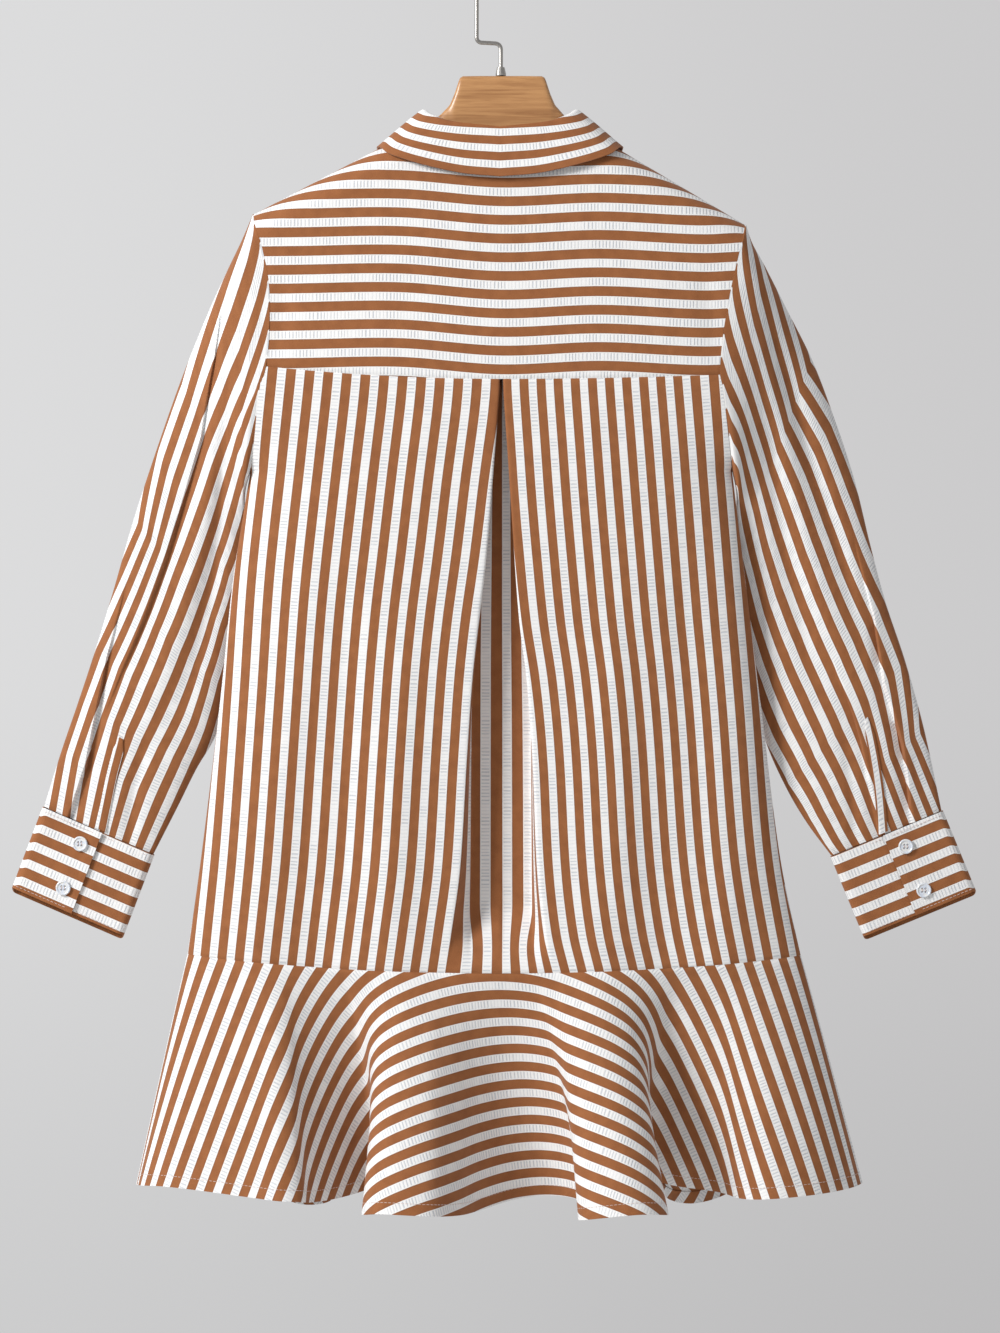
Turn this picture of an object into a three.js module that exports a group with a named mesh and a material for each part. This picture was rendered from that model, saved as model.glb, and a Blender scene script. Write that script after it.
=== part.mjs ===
// Shirt dress on a wooden hanger, in millimetres, +Z up.
// The origin is the inner top of the hanger's hook. The dress's back faces -Y, and +X is the wearer's right.
import * as THREE from 'three';

// Cloth and seams
const clothWall = 1.3;
const seamGap = 0.3;
const edgeGap = 0.5; // from a panel's middle line to the seam, so that slanting ends stay seamGap apart
const layerStep = 1.75; // from one layer of cloth to the next that lies on it, middle to middle
const collarWall = 1.6;

// Shoulder line, neck and yoke
const neckHalfWidth = 78;
const neckSideHeight = -134;
const shoulderSlope = { left: 0.526, right: 0.6 }; // the dress hangs a little askew
const shoulderRound = 24; // height over which the cloth turns down from the shoulder line
const forwardSeam = 20; // the yoke's front seam, this far over the shoulder line
const neckBackDrop = 27;
const neckFrontDrop = 81;
const neckSoften = 1.6; // above 1, the neckline leaves the shoulder line without a corner
const forwardSeamTurn = 103.6; // degrees round the neck at which the front seam starts
const yokeSeamCentre = -339.5;
const yokeSeamRise = { left: 10, right: 4 }; // the yoke seam is higher at the armholes
const underarmHeight = -415;
const armholeOpenFrom = -330; // the armhole narrows from this height down to the underarm
const armholeShare = 0.86; // the armhole's half depth as a share of the body's

// Flounce seam and the centre back pleat
const flounceSeamCentre = -832;
const flounceSeamRise = 13.5;
const flounceSeamHalf = 255;
const pleatFold = 25.4; // width of each of the pleat's folded layers
const pleatStub = 2.4; // the turn between two layers
const pleatCentre = 1.2;
const pleatFlushFrom = -775;

// Outline of the body, seen from the back: its side edges and its half depth
const bodyOutline = [
  { height: -150, left: -192, right: 193, depth: 21 },
  { height: -200, left: -205, right: 204.5, depth: 22 },
  { height: -228, left: -198, right: 200, depth: 22 },
  { height: -258, left: -192, right: 193, depth: 22 },
  { height: -300, left: -191.5, right: 185.5, depth: 22.5 },
  { height: -334, left: -195, right: 182.5, depth: 23 },
  { height: -345, left: -199, right: 184.5, depth: 23 },
  { height: -400, left: -205.5, right: 191.5, depth: 24 },
  { height: -505, left: -222, right: 204.5, depth: 25 },
  { height: -610, left: -233.5, right: 217.5, depth: 26.5 },
  { height: -740, left: -249.5, right: 234, depth: 28.5 },
  { height: -832, left: -262.5, right: 253.5, depth: 30 },
];

// How far the pleat stands open to the left and right of its middle
const pleatOpening = [
  { height: -329, left: 1.2, right: 1.2 },
  { height: -350, left: 1.6, right: 1.6 },
  { height: -408, left: 6, right: 5.5 },
  { height: -484, left: 12, right: 10.5 },
  { height: -540, left: 18.5, right: 14.8 },
  { height: -589, left: 23.5, right: 21 },
  { height: -655, left: 28, right: 26 },
  { height: -745, left: 33.5, right: 30 },
  { height: -800, left: 41, right: 36 },
  { height: -833, left: 46, right: 44 },
];

// Soft upright folds of the skirt part: place across, half width, and depth at the bottom, outwards if positive
const backFolds = [
  { place: -205, halfWidth: 26, depth: 2.6 },
  { place: -152, halfWidth: 30, depth: -3.2 },
  { place: -88, halfWidth: 30, depth: 2.8 },
  { place: 82, halfWidth: 28, depth: 2.4 },
  { place: 138, halfWidth: 30, depth: -3.4 },
  { place: 192, halfWidth: 24, depth: 2.6 },
];
const frontFolds = [
  { place: -180, halfWidth: 32, depth: 3.2 },
  { place: -112, halfWidth: 34, depth: -3.4 },
  { place: -56, halfWidth: 28, depth: 2.4 },
  { place: 64, halfWidth: 32, depth: 2.8 },
  { place: 128, halfWidth: 34, depth: -3.2 },
  { place: 186, halfWidth: 26, depth: 2.6 },
];
const foldsFrom = -430;

// Sleeves: the outer fold, the inner fold, the depth of the middle and half the thickness, row by row from the cap
const sleeveRows = {
  left: [
    { outerX: -205, outerZ: -201, innerX: -207, innerZ: -415, middle: 0, half: 20 },
    { outerX: -216, outerZ: -224, innerX: -211.5, innerZ: -424, middle: 5, half: 20 },
    { outerX: -230, outerZ: -252, innerX: -214, innerZ: -437, middle: 10, half: 20 },
    { outerX: -247.5, outerZ: -289, innerX: -214, innerZ: -457, middle: 16, half: 19 },
    { outerX: -267.5, outerZ: -337, innerX: -213.5, innerZ: -486, middle: 21, half: 18 },
    { outerX: -288, outerZ: -394.5, innerX: -215, innerZ: -523, middle: 23, half: 17 },
    { outerX: -307.5, outerZ: -454, innerX: -220, innerZ: -560, middle: 23, half: 16 },
    { outerX: -324.5, outerZ: -514, innerX: -227.5, innerZ: -600, middle: 21, half: 15 },
    { outerX: -339.5, outerZ: -564.5, innerX: -239.5, innerZ: -636.5, middle: 18, half: 14 },
    { outerX: -353.5, outerZ: -608, innerX: -255, innerZ: -663.5, middle: 15, half: 12.5 },
    { outerX: -367.5, outerZ: -649.5, innerX: -270.5, innerZ: -695, middle: 13, half: 10.5 },
    { outerX: -381.6, outerZ: -695.4, innerX: -290.8, innerZ: -734.9, middle: 12, half: 6.6 },
  ],
  right: [
    { outerX: 204.5, outerZ: -208, innerX: 193, innerZ: -415, middle: 0, half: 20 },
    { outerX: 210, outerZ: -224, innerX: 196.5, innerZ: -424, middle: 5, half: 20 },
    { outerX: 221.5, outerZ: -244, innerX: 198.5, innerZ: -437.5, middle: 10, half: 20 },
    { outerX: 239.5, outerZ: -277.5, innerX: 198, innerZ: -459, middle: 16, half: 19 },
    { outerX: 261.5, outerZ: -319.5, innerX: 197.5, innerZ: -488, middle: 21, half: 18 },
    { outerX: 280.5, outerZ: -368.5, innerX: 200, innerZ: -523, middle: 23, half: 17 },
    { outerX: 297.5, outerZ: -420.5, innerX: 205.5, innerZ: -558.5, middle: 23, half: 16 },
    { outerX: 311, outerZ: -476.5, innerX: 213.5, innerZ: -600.5, middle: 21, half: 15 },
    { outerX: 323.5, outerZ: -524.5, innerX: 224, innerZ: -642, middle: 18, half: 14 },
    { outerX: 339.5, outerZ: -573.5, innerX: 240, innerZ: -678.5, middle: 15, half: 12.5 },
    { outerX: 355, outerZ: -630, innerX: 257.5, innerZ: -708.5, middle: 13, half: 10.5 },
    { outerX: 369.6, outerZ: -698.6, innerX: 278.0, innerZ: -736.2, middle: 12, half: 6.6 },
  ],
};
const sleeveFullRow = 4; // from this row on, the sleeve has its own section instead of the armhole's

// Troughs along a sleeve's back, such as the tuck at the cuff: distance from the outer fold and depth at each row
const sleeveTroughs = {
  left: [
    { halfWidth: 8, rows: [[7, 11, 1], [8, 13, 4], [9, 18, 6], [10, 23, 6], [11, 27, 3.5]] },
    { halfWidth: 9, rows: [[2, 12, 1], [3, 16, 3], [4, 21, 4], [6, 28, 4], [8, 33, 3], [9, 36, 1]] },
  ],
  right: [
    { halfWidth: 8, rows: [[7, 12, 1], [8, 16, 4], [9, 20, 6], [10, 25, 6], [11, 28, 3.5]] },
    { halfWidth: 9, rows: [[3, 30, 1], [5, 36, 3.5], [7, 42, 4], [9, 46, 3], [10, 49, 1]] },
  ],
};

// Cuffs: the upper outer corner, the directions along and down in degrees, and the overlap at the buttons
const cuffWidth = 101;
const cuffDepth = 72;
const cuffHalf = 6.4;
const cuffOverlapShare = 0.54;
const cuffOverlapWidth = 25;
const cuffs = {
  left: { x: -382.8, z: -695.6, turn: -23.4, lean: -20.8, middle: 12 },
  right: { x: 370.8, z: -698.7, turn: -22.4, lean: -22.4, middle: 12 },
};

// Sleeve plackets: narrow bindings beside the slit above each cuff
const sleevePlacketWidth = 9;
const sleevePlackets = {
  left: { rows: [9.2, 9.6, 10, 10.5, 10.97], fromOuterFold: [41, 42, 43, 45, 47] },
  right: { rows: [9.2, 9.6, 10, 10.5, 10.97], fromOuterFold: [48, 48, 48, 48, 49] },
};

// Flounce: the plan of its hem, and the cloth's length from the seam to there, from one side seam to the other
const flounceEase = 0.98; // below 1, the waves open out quickly under the seam
const flounceBackHem = [
  { x: -304.6, y: 12, length: 199.5 },
  { x: -298, y: -14, length: 196 },
  { x: -276, y: -36, length: 192 },
  { x: -240, y: -50, length: 191 },
  { x: -204, y: -62, length: 193 },
  { x: -178, y: -72, length: 196 },
  { x: -163, y: -66, length: 196 },
  { x: -156, y: -46, length: 195 },
  { x: -134, y: -14, length: 194 },
  { x: -110, y: 12, length: 194 },
  { x: -96, y: 16, length: 195 },
  { x: -95, y: -2, length: 196 },
  { x: -110, y: -36, length: 198 },
  { x: -112.5, y: -60, length: 200 },
  { x: -98, y: -80, length: 200 },
  { x: -58, y: -82, length: 201 },
  { x: -36, y: -60, length: 199 },
  { x: -14, y: -24, length: 196 },
  { x: 10, y: -2, length: 194 },
  { x: 36, y: 5, length: 194 },
  { x: 60, y: -2, length: 196 },
  { x: 74, y: -18, length: 199 },
  { x: 68, y: -44, length: 202 },
  { x: 65, y: -66, length: 203 },
  { x: 82, y: -88, length: 204 },
  { x: 114, y: -92, length: 204 },
  { x: 136, y: -72, length: 204 },
  { x: 134, y: -40, length: 201 },
  { x: 116, y: -2, length: 197 },
  { x: 112, y: 26, length: 196 },
  { x: 124, y: 34, length: 196 },
  { x: 150, y: 24, length: 196 },
  { x: 184, y: 4, length: 195 },
  { x: 202, y: -20, length: 196 },
  { x: 226, y: -36, length: 196 },
  { x: 262, y: -30, length: 197 },
  { x: 292, y: -8, length: 198.5 },
  { x: 303.5, y: 12, length: 199.5 },
];
const flounceFrontHem = [
  { x: 303.5, y: 13.2, length: 199.5 },
  { x: 300, y: 60, length: 200 },
  { x: 276, y: 98, length: 201 },
  { x: 236, y: 104, length: 202 },
  { x: 206, y: 84, length: 206 },
  { x: 188, y: 62, length: 209 },
  { x: 164, y: 54, length: 210 },
  { x: 146, y: 66, length: 209 },
  { x: 134, y: 98, length: 206 },
  { x: 108, y: 122, length: 203 },
  { x: 74, y: 122, length: 200 },
  { x: 52, y: 98, length: 197 },
  { x: 38, y: 70, length: 194 },
  { x: 20, y: 52, length: 193 },
  { x: -2, y: 48, length: 193 },
  { x: -22, y: 54, length: 193 },
  { x: -38, y: 78, length: 196 },
  { x: -56, y: 108, length: 200 },
  { x: -88, y: 124, length: 203 },
  { x: -120, y: 112, length: 206 },
  { x: -138, y: 86, length: 209 },
  { x: -150, y: 62, length: 210 },
  { x: -168, y: 54, length: 210 },
  { x: -190, y: 62, length: 207 },
  { x: -208, y: 86, length: 203 },
  { x: -232, y: 106, length: 200 },
  { x: -266, y: 104, length: 199 },
  { x: -294, y: 66, length: 199 },
  { x: -304.6, y: 13.2, length: 199.5 },
];

// Collar: the roll line and the outer edge, by degrees round the neck from the centre back
const rollHalfWidth = 62;
const rollLine = [
  { turn: 0, y: -17, z: -131 },
  { turn: 40, y: -16, z: -126 },
  { turn: 65, y: -12.5, z: -119.5 },
  { turn: 90, y: 0, z: -114.8 },
  { turn: 115, y: 14, z: -127 },
  { turn: 145, y: 22, z: -161 },
  { turn: 180, y: 25, z: -188 },
];
const fallEdge = [
  { turn: 0, x: 0, y: -27.5, z: -172 },
  { turn: 25, x: 33, y: -27.5, z: -169 },
  { turn: 48, x: 68, y: -27, z: -161 },
  { turn: 70, x: 92, y: -22.5, z: -152.5 },
  { turn: 80, x: 99, y: -13, z: -146.4 },
  { turn: 90, x: 102.5, y: 0, z: -144.7 },
  { turn: 100, x: 101.5, y: 14, z: -148.5 },
  { turn: 110, x: 98, y: 24.5, z: -162 },
  { turn: 132, x: 84, y: 28.5, z: -197 },
  { turn: 152, x: 62, y: 29.5, z: -232 },
  { turn: 170, x: 46, y: 30, z: -252 },
];
const fallOut = 3.2; // the fall clears the stand by this much just under the roll
const fallOver = 0.75; // and passes over it by this much
const fallSwell = 1.2; // the fall's outward curve between the roll and its edge
const fallFrontSwell = 3; // more of it in front, where the fall leaves the neck's side
const standEndTurn = 187; // the stand's ends pass the centre front and overlap
const neckTurns = [0, 13, 26, 38, 49, 59, 68, 76, 83, 90, 96.5, 103.6, 112, 122, 134, 146, 157, 168];
const shoulderShares = [0, 0.04, 0.1, 0.2, 0.34, 0.5, 0.66, 0.82, 0.93, 1];

// Where the yoke's lines from the neck end: ways down the armhole, from the front seam to the yoke seam
const yokeFanCorner = 38;
const yokeFan = [
  { turn: 38, armhole: 1 },
  { turn: 49, armhole: 0.7 },
  { turn: 59, armhole: 0.46 },
  { turn: 68, armhole: 0.3 },
  { turn: 76, armhole: 0.205 },
  { turn: 83, armhole: 0.145 },
  { turn: 90, armhole: 0.095 },
  { turn: 96.5, armhole: 0.048 },
  { turn: 103.6, armhole: 0 },
];

// Front closing
const placketWidth = 28;
const frontUnderlap = 12.6;
const buttonRadius = 6.3;
const buttonThick = 2.6;
const frontButtonHeights = [-262, -346, -430, -514, -598, -682, -766];
const standButtonHeight = -201;
const cuffButtonAt = [{ down: 15.5 }, { down: 55 }];
const cuffButtonFromEdge = 14;

// Hanger: the block in the neck is set by its top, and the arms by how far they lie under the shoulder line
const hangerSections = [
  { x: 0, top: -85, bottom: -150, half: 7 },
  { x: 26, top: -85, bottom: -152, half: 7 },
  { x: 34.5, top: -85.3, bottom: -153, half: 7 },
  { x: 36.5, top: -89, bottom: -154, half: 7 },
  { x: 40, top: -100, bottom: -155, half: 7 },
  { x: 44, top: -110, bottom: -157, half: 6.6 },
  { x: 51, top: -117, bottom: -160, half: 6.2 },
  { x: 62, top: -126, bottom: -164, half: 6 },
  { x: 80, under: 1.6, bottom: -168, half: 6 },
  { x: 120, under: 1.55, bottom: -190, half: 6 },
  { x: 160, under: 1.55, bottom: -211, half: 6 },
  { x: 188, under: 1.55, bottom: -224, half: 5.6 },
  { x: 196, under: 6, bottom: -222, half: 4 },
];
const hangerMiddle = 2; // the neck block stands a little to the right of the hook's line
const hookWire = 3.5;
const hookRadius = 19.5;
const hookStemX = 0.7;
const hookStemFoot = -84.7;
const hookJogHeight = -57;
const hookTail = 8;
const ferruleRadius = 4.4;
const ferruleHeight = 7;

// Finishes
const stripeCloth = new THREE.MeshStandardMaterial({ color: 0xc79c7a, roughness: 0.85, metalness: 0 });
const buttonShell = new THREE.MeshStandardMaterial({ color: 0xdfe3ec, roughness: 0.3, metalness: 0 });
const hangerWood = new THREE.MeshStandardMaterial({ color: 0xc79258, roughness: 0.45, metalness: 0 });
const hookMetal = new THREE.MeshStandardMaterial({ color: 0xb9b4ad, roughness: 0.25, metalness: 1 });

const dress = new THREE.Group();

function addPiece(name, geometry, material) {
  const mesh = new THREE.Mesh(geometry, material.clone());
  mesh.name = name;
  dress.add(mesh);
  return mesh;
}

function clamp(value, low, high) {
  return Math.min(Math.max(value, low), high);
}

function mix(a, b, share) {
  return a + (b - a) * share;
}

function smooth(share) {
  const t = clamp(share, 0, 1);
  return t * t * (3 - 2 * t);
}

function radians(degrees) {
  return (degrees * Math.PI) / 180;
}

// The value of a table's column at a place on its key column, on a smooth line through every row
function tableValue(table, key, column, at) {
  const last = table.length - 1;
  const way = Math.sign(table[last][key] - table[0][key]);
  let i = 0;
  while (i < last - 1 && (at - table[i + 1][key]) * way > 0) i += 1;
  const slopeAt = (k) => {
    const before = table[Math.max(k - 1, 0)];
    const after = table[Math.min(k + 1, last)];
    return (after[column] - before[column]) / (after[key] - before[key]);
  };
  const span = table[i + 1][key] - table[i][key];
  const t = clamp((at - table[i][key]) / span, 0, 1);
  const start = table[i][column];
  const end = table[i + 1][column];
  const bend = t * t * t;
  return (
    start * (2 * bend - 3 * t * t + 1) +
    end * (3 * t * t - 2 * bend) +
    span * slopeAt(i) * (bend - 2 * t * t + t) +
    span * slopeAt(i + 1) * (bend - t * t)
  );
}

// A closed wall round a grid of middle points, which is grid[row][column]
function wallGeometry(grid, wall, options = {}) {
  const rows = grid.length;
  const columns = grid[0].length;
  const around = options.around === true;
  const quadColumns = around ? columns : columns - 1;
  const quadNormals = [];
  for (let r = 0; r < rows - 1; r += 1) {
    const line = [];
    for (let c = 0; c < quadColumns; c += 1) {
      const next = (c + 1) % columns;
      const first = grid[r + 1][next].clone().sub(grid[r][c]);
      const second = grid[r + 1][c].clone().sub(grid[r][next]);
      line.push(first.cross(second).normalize());
    }
    quadNormals.push(line);
  }
  const positions = [];
  const push = (side) => {
    for (let r = 0; r < rows; r += 1) {
      for (let c = 0; c < columns; c += 1) {
        const near = [];
        for (const qr of [r - 1, r]) {
          for (const qc of [c - 1, c]) {
            const wrapped = around ? (qc + columns) % columns : qc;
            if (qr >= 0 && qr < rows - 1 && wrapped >= 0 && wrapped < quadColumns) {
              near.push(quadNormals[qr][wrapped]);
            }
          }
        }
        const normal = new THREE.Vector3();
        near.forEach((n) => normal.add(n));
        normal.normalize();
        const held = [];
        if (r === 0 && options.first) held.push(options.first(grid[r][c]));
        if (r === rows - 1 && options.last) held.push(options.last(grid[r][c]));
        if (!around && c === 0 && options.left) held.push(options.left(grid[r][c]));
        if (!around && c === columns - 1 && options.right) held.push(options.right(grid[r][c]));
        const free = normal.clone();
        held.forEach((axis) => {
          free[axis] = 0;
        });
        if (held.length > 0 && free.length() > 0.2) normal.copy(free.normalize());
        const lean = near.reduce((sum, n) => sum + n.dot(normal), 0) / near.length;
        const reach = wall / 2 / Math.max(lean, 0.62);
        const point = grid[r][c].clone().addScaledVector(normal, side * reach);
        positions.push(point.x, point.y, point.z);
      }
    }
  };
  push(1);
  push(-1);
  const layer = rows * columns;
  const triangles = [];
  const quad = (a, b, c, d) => triangles.push([a, b, c], [a, c, d]);
  const outer = (r, c) => r * columns + (c % columns);
  const inner = (r, c) => layer + outer(r, c);
  for (let r = 0; r < rows - 1; r += 1) {
    for (let c = 0; c < quadColumns; c += 1) {
      quad(outer(r, c), outer(r, c + 1), outer(r + 1, c + 1), outer(r + 1, c));
      quad(inner(r, c), inner(r + 1, c), inner(r + 1, c + 1), inner(r, c + 1));
    }
  }
  for (let c = 0; c < quadColumns; c += 1) {
    const end = rows - 1;
    quad(outer(0, c + 1), outer(0, c), inner(0, c), inner(0, c + 1));
    quad(outer(end, c), outer(end, c + 1), inner(end, c + 1), inner(end, c));
  }
  if (!around) {
    const end = columns - 1;
    for (let r = 0; r < rows - 1; r += 1) {
      quad(outer(r, 0), outer(r + 1, 0), inner(r + 1, 0), inner(r, 0));
      quad(outer(r + 1, end), outer(r, end), inner(r, end), inner(r + 1, end));
    }
  }
  return solidGeometry(positions, triangles);
}

// Faces turned so that they point out, whichever way the grid ran
function solidGeometry(positions, triangles) {
  const corner = (i) => new THREE.Vector3().fromArray(positions, 3 * i);
  let volume = 0;
  triangles.forEach(([a, b, c]) => {
    volume += corner(a).dot(corner(b).cross(corner(c)));
  });
  const index = triangles.flatMap(([a, b, c]) => (volume > 0 ? [a, b, c] : [a, c, b]));
  const geometry = new THREE.BufferGeometry();
  geometry.setAttribute('position', new THREE.Float32BufferAttribute(positions, 3));
  geometry.setIndex(index);
  geometry.computeVertexNormals();
  return geometry;
}

// A grid between four border lines, each a function of a share from 0 to 1
function patch(bottom, top, left, right, columns, rows) {
  const corners = [bottom(0), bottom(1), top(0), top(1)];
  return rows.map((v) =>
    columns.map((u) => {
      const [low, high, first, last] = [bottom(u), top(u), left(v), right(v)];
      return low.map(
        (value, i) =>
          (1 - v) * low[i] +
          v * high[i] +
          (1 - u) * first[i] +
          u * last[i] -
          (1 - u) * (1 - v) * corners[0][i] -
          u * (1 - v) * corners[1][i] -
          (1 - u) * v * corners[2][i] -
          u * v * corners[3][i],
      );
    }),
  );
}

function shares(count) {
  return Array.from({ length: count + 1 }, (_, i) => i / count);
}

// Body form: a point is set by x and by q, its way from the shoulder line, negative down the back
const depthAtShoulder = 22;
const shoulderArc = (Math.PI / 2) * Math.sqrt((shoulderRound ** 2 + depthAtShoulder ** 2) / 2);

function shoulderLine(x) {
  return neckSideHeight - (Math.abs(x) - neckHalfWidth) * (x < 0 ? shoulderSlope.left : shoulderSlope.right);
}

function shoulderTurn(way) {
  if (way >= shoulderArc) return { drop: shoulderRound + way - shoulderArc, share: 1 };
  const angle = ((way / shoulderArc) * Math.PI) / 2;
  return { drop: shoulderRound * (1 - Math.cos(angle)), share: Math.sin(angle) };
}

function wayForDrop(drop) {
  if (drop >= shoulderRound) return shoulderArc + drop - shoulderRound;
  const angle = Math.acos(1 - Math.max(drop, 0) / shoulderRound);
  return (shoulderArc * angle) / (Math.PI / 2);
}

function outlineAt(height) {
  return {
    left: tableValue(bodyOutline, 'height', 'left', height),
    right: tableValue(bodyOutline, 'height', 'right', height),
    depth: tableValue(bodyOutline, 'height', 'depth', height),
  };
}

function armholeOpenness(height) {
  if (height >= armholeOpenFrom) return armholeShare;
  const down = (armholeOpenFrom - height) / (armholeOpenFrom - underarmHeight);
  return armholeShare * Math.sqrt(Math.max(1 - down * down, 0));
}

function foldDepth(folds, x, height) {
  const grown = smooth((foldsFrom - height) / (foldsFrom - flounceSeamCentre));
  return folds.reduce((sum, fold) => {
    const off = (x - fold.place) / fold.halfWidth;
    return sum + grown * fold.depth * Math.exp(-off * off * 1.6);
  }, 0);
}

function bodyPoint(x, q) {
  const side = q < 0 ? -1 : 1;
  const { drop, share } = shoulderTurn(Math.abs(q));
  const height = shoulderLine(x) - drop;
  const { left, right, depth } = outlineAt(height);
  const across = clamp(Math.abs((2 * x - left - right) / (right - left)), 0, 1);
  const open = armholeOpenness(height);
  const rounding = Math.sqrt(Math.max(1 - (1 - open * open) * across ** 4, 0));
  const fold = foldDepth(side < 0 ? backFolds : frontFolds, x, height) * (1 - across ** 6);
  const y = share * (depth * rounding + fold);
  return new THREE.Vector3(x, side * Math.max(y, q === 0 ? 0 : (edgeGap / 2) * share), height);
}

function bodyPointAtHeight(x, height, side) {
  return bodyPoint(x, side * wayForDrop(shoulderLine(x) - height));
}

// Where the outline's edge lies at a way q from the shoulder line
function edgePlace(hand, q) {
  const { drop } = shoulderTurn(Math.abs(q));
  let height = -208;
  let x = 0;
  for (let i = 0; i < 8; i += 1) {
    x = outlineAt(height)[hand];
    height = shoulderLine(x) - drop;
  }
  return [x, q];
}

// The way a wall's end faces: along the armhole it faces the sleeve, below that the other panel
function sideFacing(point) {
  return point.z < underarmHeight ? 'y' : 'x';
}

function facing(axis) {
  return () => axis;
}

function yokeSeamHeight(x) {
  const rise = x < 0 ? yokeSeamRise.left : yokeSeamRise.right;
  return yokeSeamCentre + rise * (x / 188) ** 2;
}

function flounceSeamHeight(x) {
  return flounceSeamCentre + flounceSeamRise * (x / flounceSeamHalf) ** 2;
}

// Edge and way where a level seam line meets the side
function edgeAtSeam(hand, seamHeight, shift, side) {
  let height = seamHeight(0);
  let x = 0;
  for (let i = 0; i < 8; i += 1) {
    x = outlineAt(height)[hand];
    height = seamHeight(x) + shift;
  }
  return [x, side * wayForDrop(shoulderLine(x) - height)];
}

function neckPlace(turn) {
  const angle = radians(turn);
  const x = neckHalfWidth * Math.sin(angle);
  const side = Math.abs(turn) < 90 ? -1 : 1;
  const lean = Math.abs(Math.cos(angle)) ** neckSoften;
  const height = neckSideHeight - (side < 0 ? neckBackDrop : neckFrontDrop) * lean;
  return [x, side * wayForDrop(shoulderLine(x) - height)];
}

// Yoke: from the seam across the back, up over the shoulders, to the front seam and round the neck
function buildYoke() {
  const seamEnds = ['left', 'right'].map((hand) => edgeAtSeam(hand, yokeSeamHeight, edgeGap / 2, -1));
  const turnAt = (u) => mix(-forwardSeamTurn, forwardSeamTurn, u);
  const outer = (u) => {
    const turn = turnAt(u);
    const hand = turn < 0 ? 'left' : 'right';
    const seamEnd = seamEnds[turn < 0 ? 0 : 1];
    if (Math.abs(turn) > yokeFanCorner) {
      const down = tableValue(yokeFan, 'turn', 'armhole', Math.abs(turn));
      return edgePlace(hand, mix(forwardSeam, seamEnd[1], down));
    }
    const x = mix(seamEnds[0][0], seamEnds[1][0], (1 + turn / yokeFanCorner) / 2);
    return [x, -wayForDrop(shoulderLine(x) - yokeSeamHeight(x) - edgeGap / 2)];
  };
  const neck = (u) => neckPlace(turnAt(u));
  const frontSeam = (hand, sign) => (v) => {
    const corner = edgePlace(hand, forwardSeam);
    const neckEnd = neckPlace(sign * forwardSeamTurn);
    return [mix(corner[0], neckEnd[0], v), mix(forwardSeam, neckEnd[1], v)];
  };
  const turns = bothSides(neckTurns.filter((turn) => turn <= forwardSeamTurn));
  const columns = turns.map((turn) => (turn / forwardSeamTurn + 1) / 2);
  const places = patch(
    outer,
    neck,
    frontSeam('left', -1),
    frontSeam('right', 1),
    columns,
    shoulderShares,
  );
  const grid = places.map((row) => row.map(([x, q]) => bodyPoint(x, q)));
  const outerEnd = (point) => (point.z < yokeSeamHeight(point.x) + 2 ? 'z' : 'x');
  addPiece('back_yoke', wallGeometry(grid, clothWall, { first: outerEnd }), stripeCloth);
}

// One level of the back panel: the visible part to each fold edge of the pleat, and the folded layers between
function backPanelRow(v, outerShares, foldSteps) {
  const halfFolded = (hand, sign) => {
    const topEnd = edgeAtSeam(hand, yokeSeamHeight, -edgeGap / 2, -1);
    const bottomEnd = edgeAtSeam(hand, flounceSeamHeight, edgeGap / 2, -1);
    const edge = edgePlace(hand, mix(topEnd[1], bottomEnd[1], v));
    const heightAt = (x) =>
      mix(yokeSeamHeight(x) - edgeGap / 2, flounceSeamHeight(x) + edgeGap / 2, v);
    const centreHeight = heightAt(0);
    const opening = tableValue(pleatOpening, 'height', hand, centreHeight);
    const foldX = pleatCentre + sign * opening;
    const points = outerShares.map((share) => {
      const x = mix(edge[0], foldX, share);
      return bodyPointAtHeight(x, heightAt(x), -1);
    });
    const edgePoint = points[points.length - 1];
    const flush = 1 - smooth((pleatFlushFrom - centreHeight) / (pleatFlushFrom - flounceSeamCentre));
    const turned = Math.acos(clamp(1 - opening / pleatFold, -1, 1));
    const stub = pleatStub * flush;
    const deep = (pleatFold - pleatStub) * Math.sin(turned) * flush;
    const returnX = foldX + sign * (pleatFold - pleatStub) * Math.cos(turned);
    const at = (x, y) => new THREE.Vector3(x, y, heightAt(x));
    points.push(at(foldX, edgePoint.y + stub));
    foldSteps.forEach((step) => {
      points.push(at(mix(foldX, returnX, step), edgePoint.y + stub + deep * step));
    });
    points.push(at(returnX, edgePoint.y + 2 * stub + deep));
    foldSteps.slice(0, -1).forEach((step) => {
      points.push(at(mix(returnX, pleatCentre, step), edgePoint.y + 2 * stub + deep));
    });
    return { points, centre: at(pleatCentre, edgePoint.y + 2 * stub + deep) };
  };
  const left = halfFolded('left', -1);
  const right = halfFolded('right', 1);
  const middle = left.centre.clone().add(right.centre).multiplyScalar(0.5);
  return [...left.points, middle, ...right.points.reverse()];
}

function buildBackPanel() {
  const outerShares = [0, 0.012, 0.035, 0.07, 0.12, 0.19, 0.28, 0.38, 0.49, 0.6, 0.72, 0.84, 0.93, 1];
  const rows = [0, 0.05, 0.1, 0.135, 0.155, 0.2, 0.28, 0.38, 0.48, 0.58, 0.68, 0.78, 0.88, 0.95, 1];
  const grid = rows.map((v) => backPanelRow(v, outerShares, [0.5, 1]));
  const ends = { first: facing('z'), last: facing('z'), left: sideFacing, right: sideFacing };
  addPiece('back_panel', wallGeometry(grid, clothWall, ends), stripeCloth);
}

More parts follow.
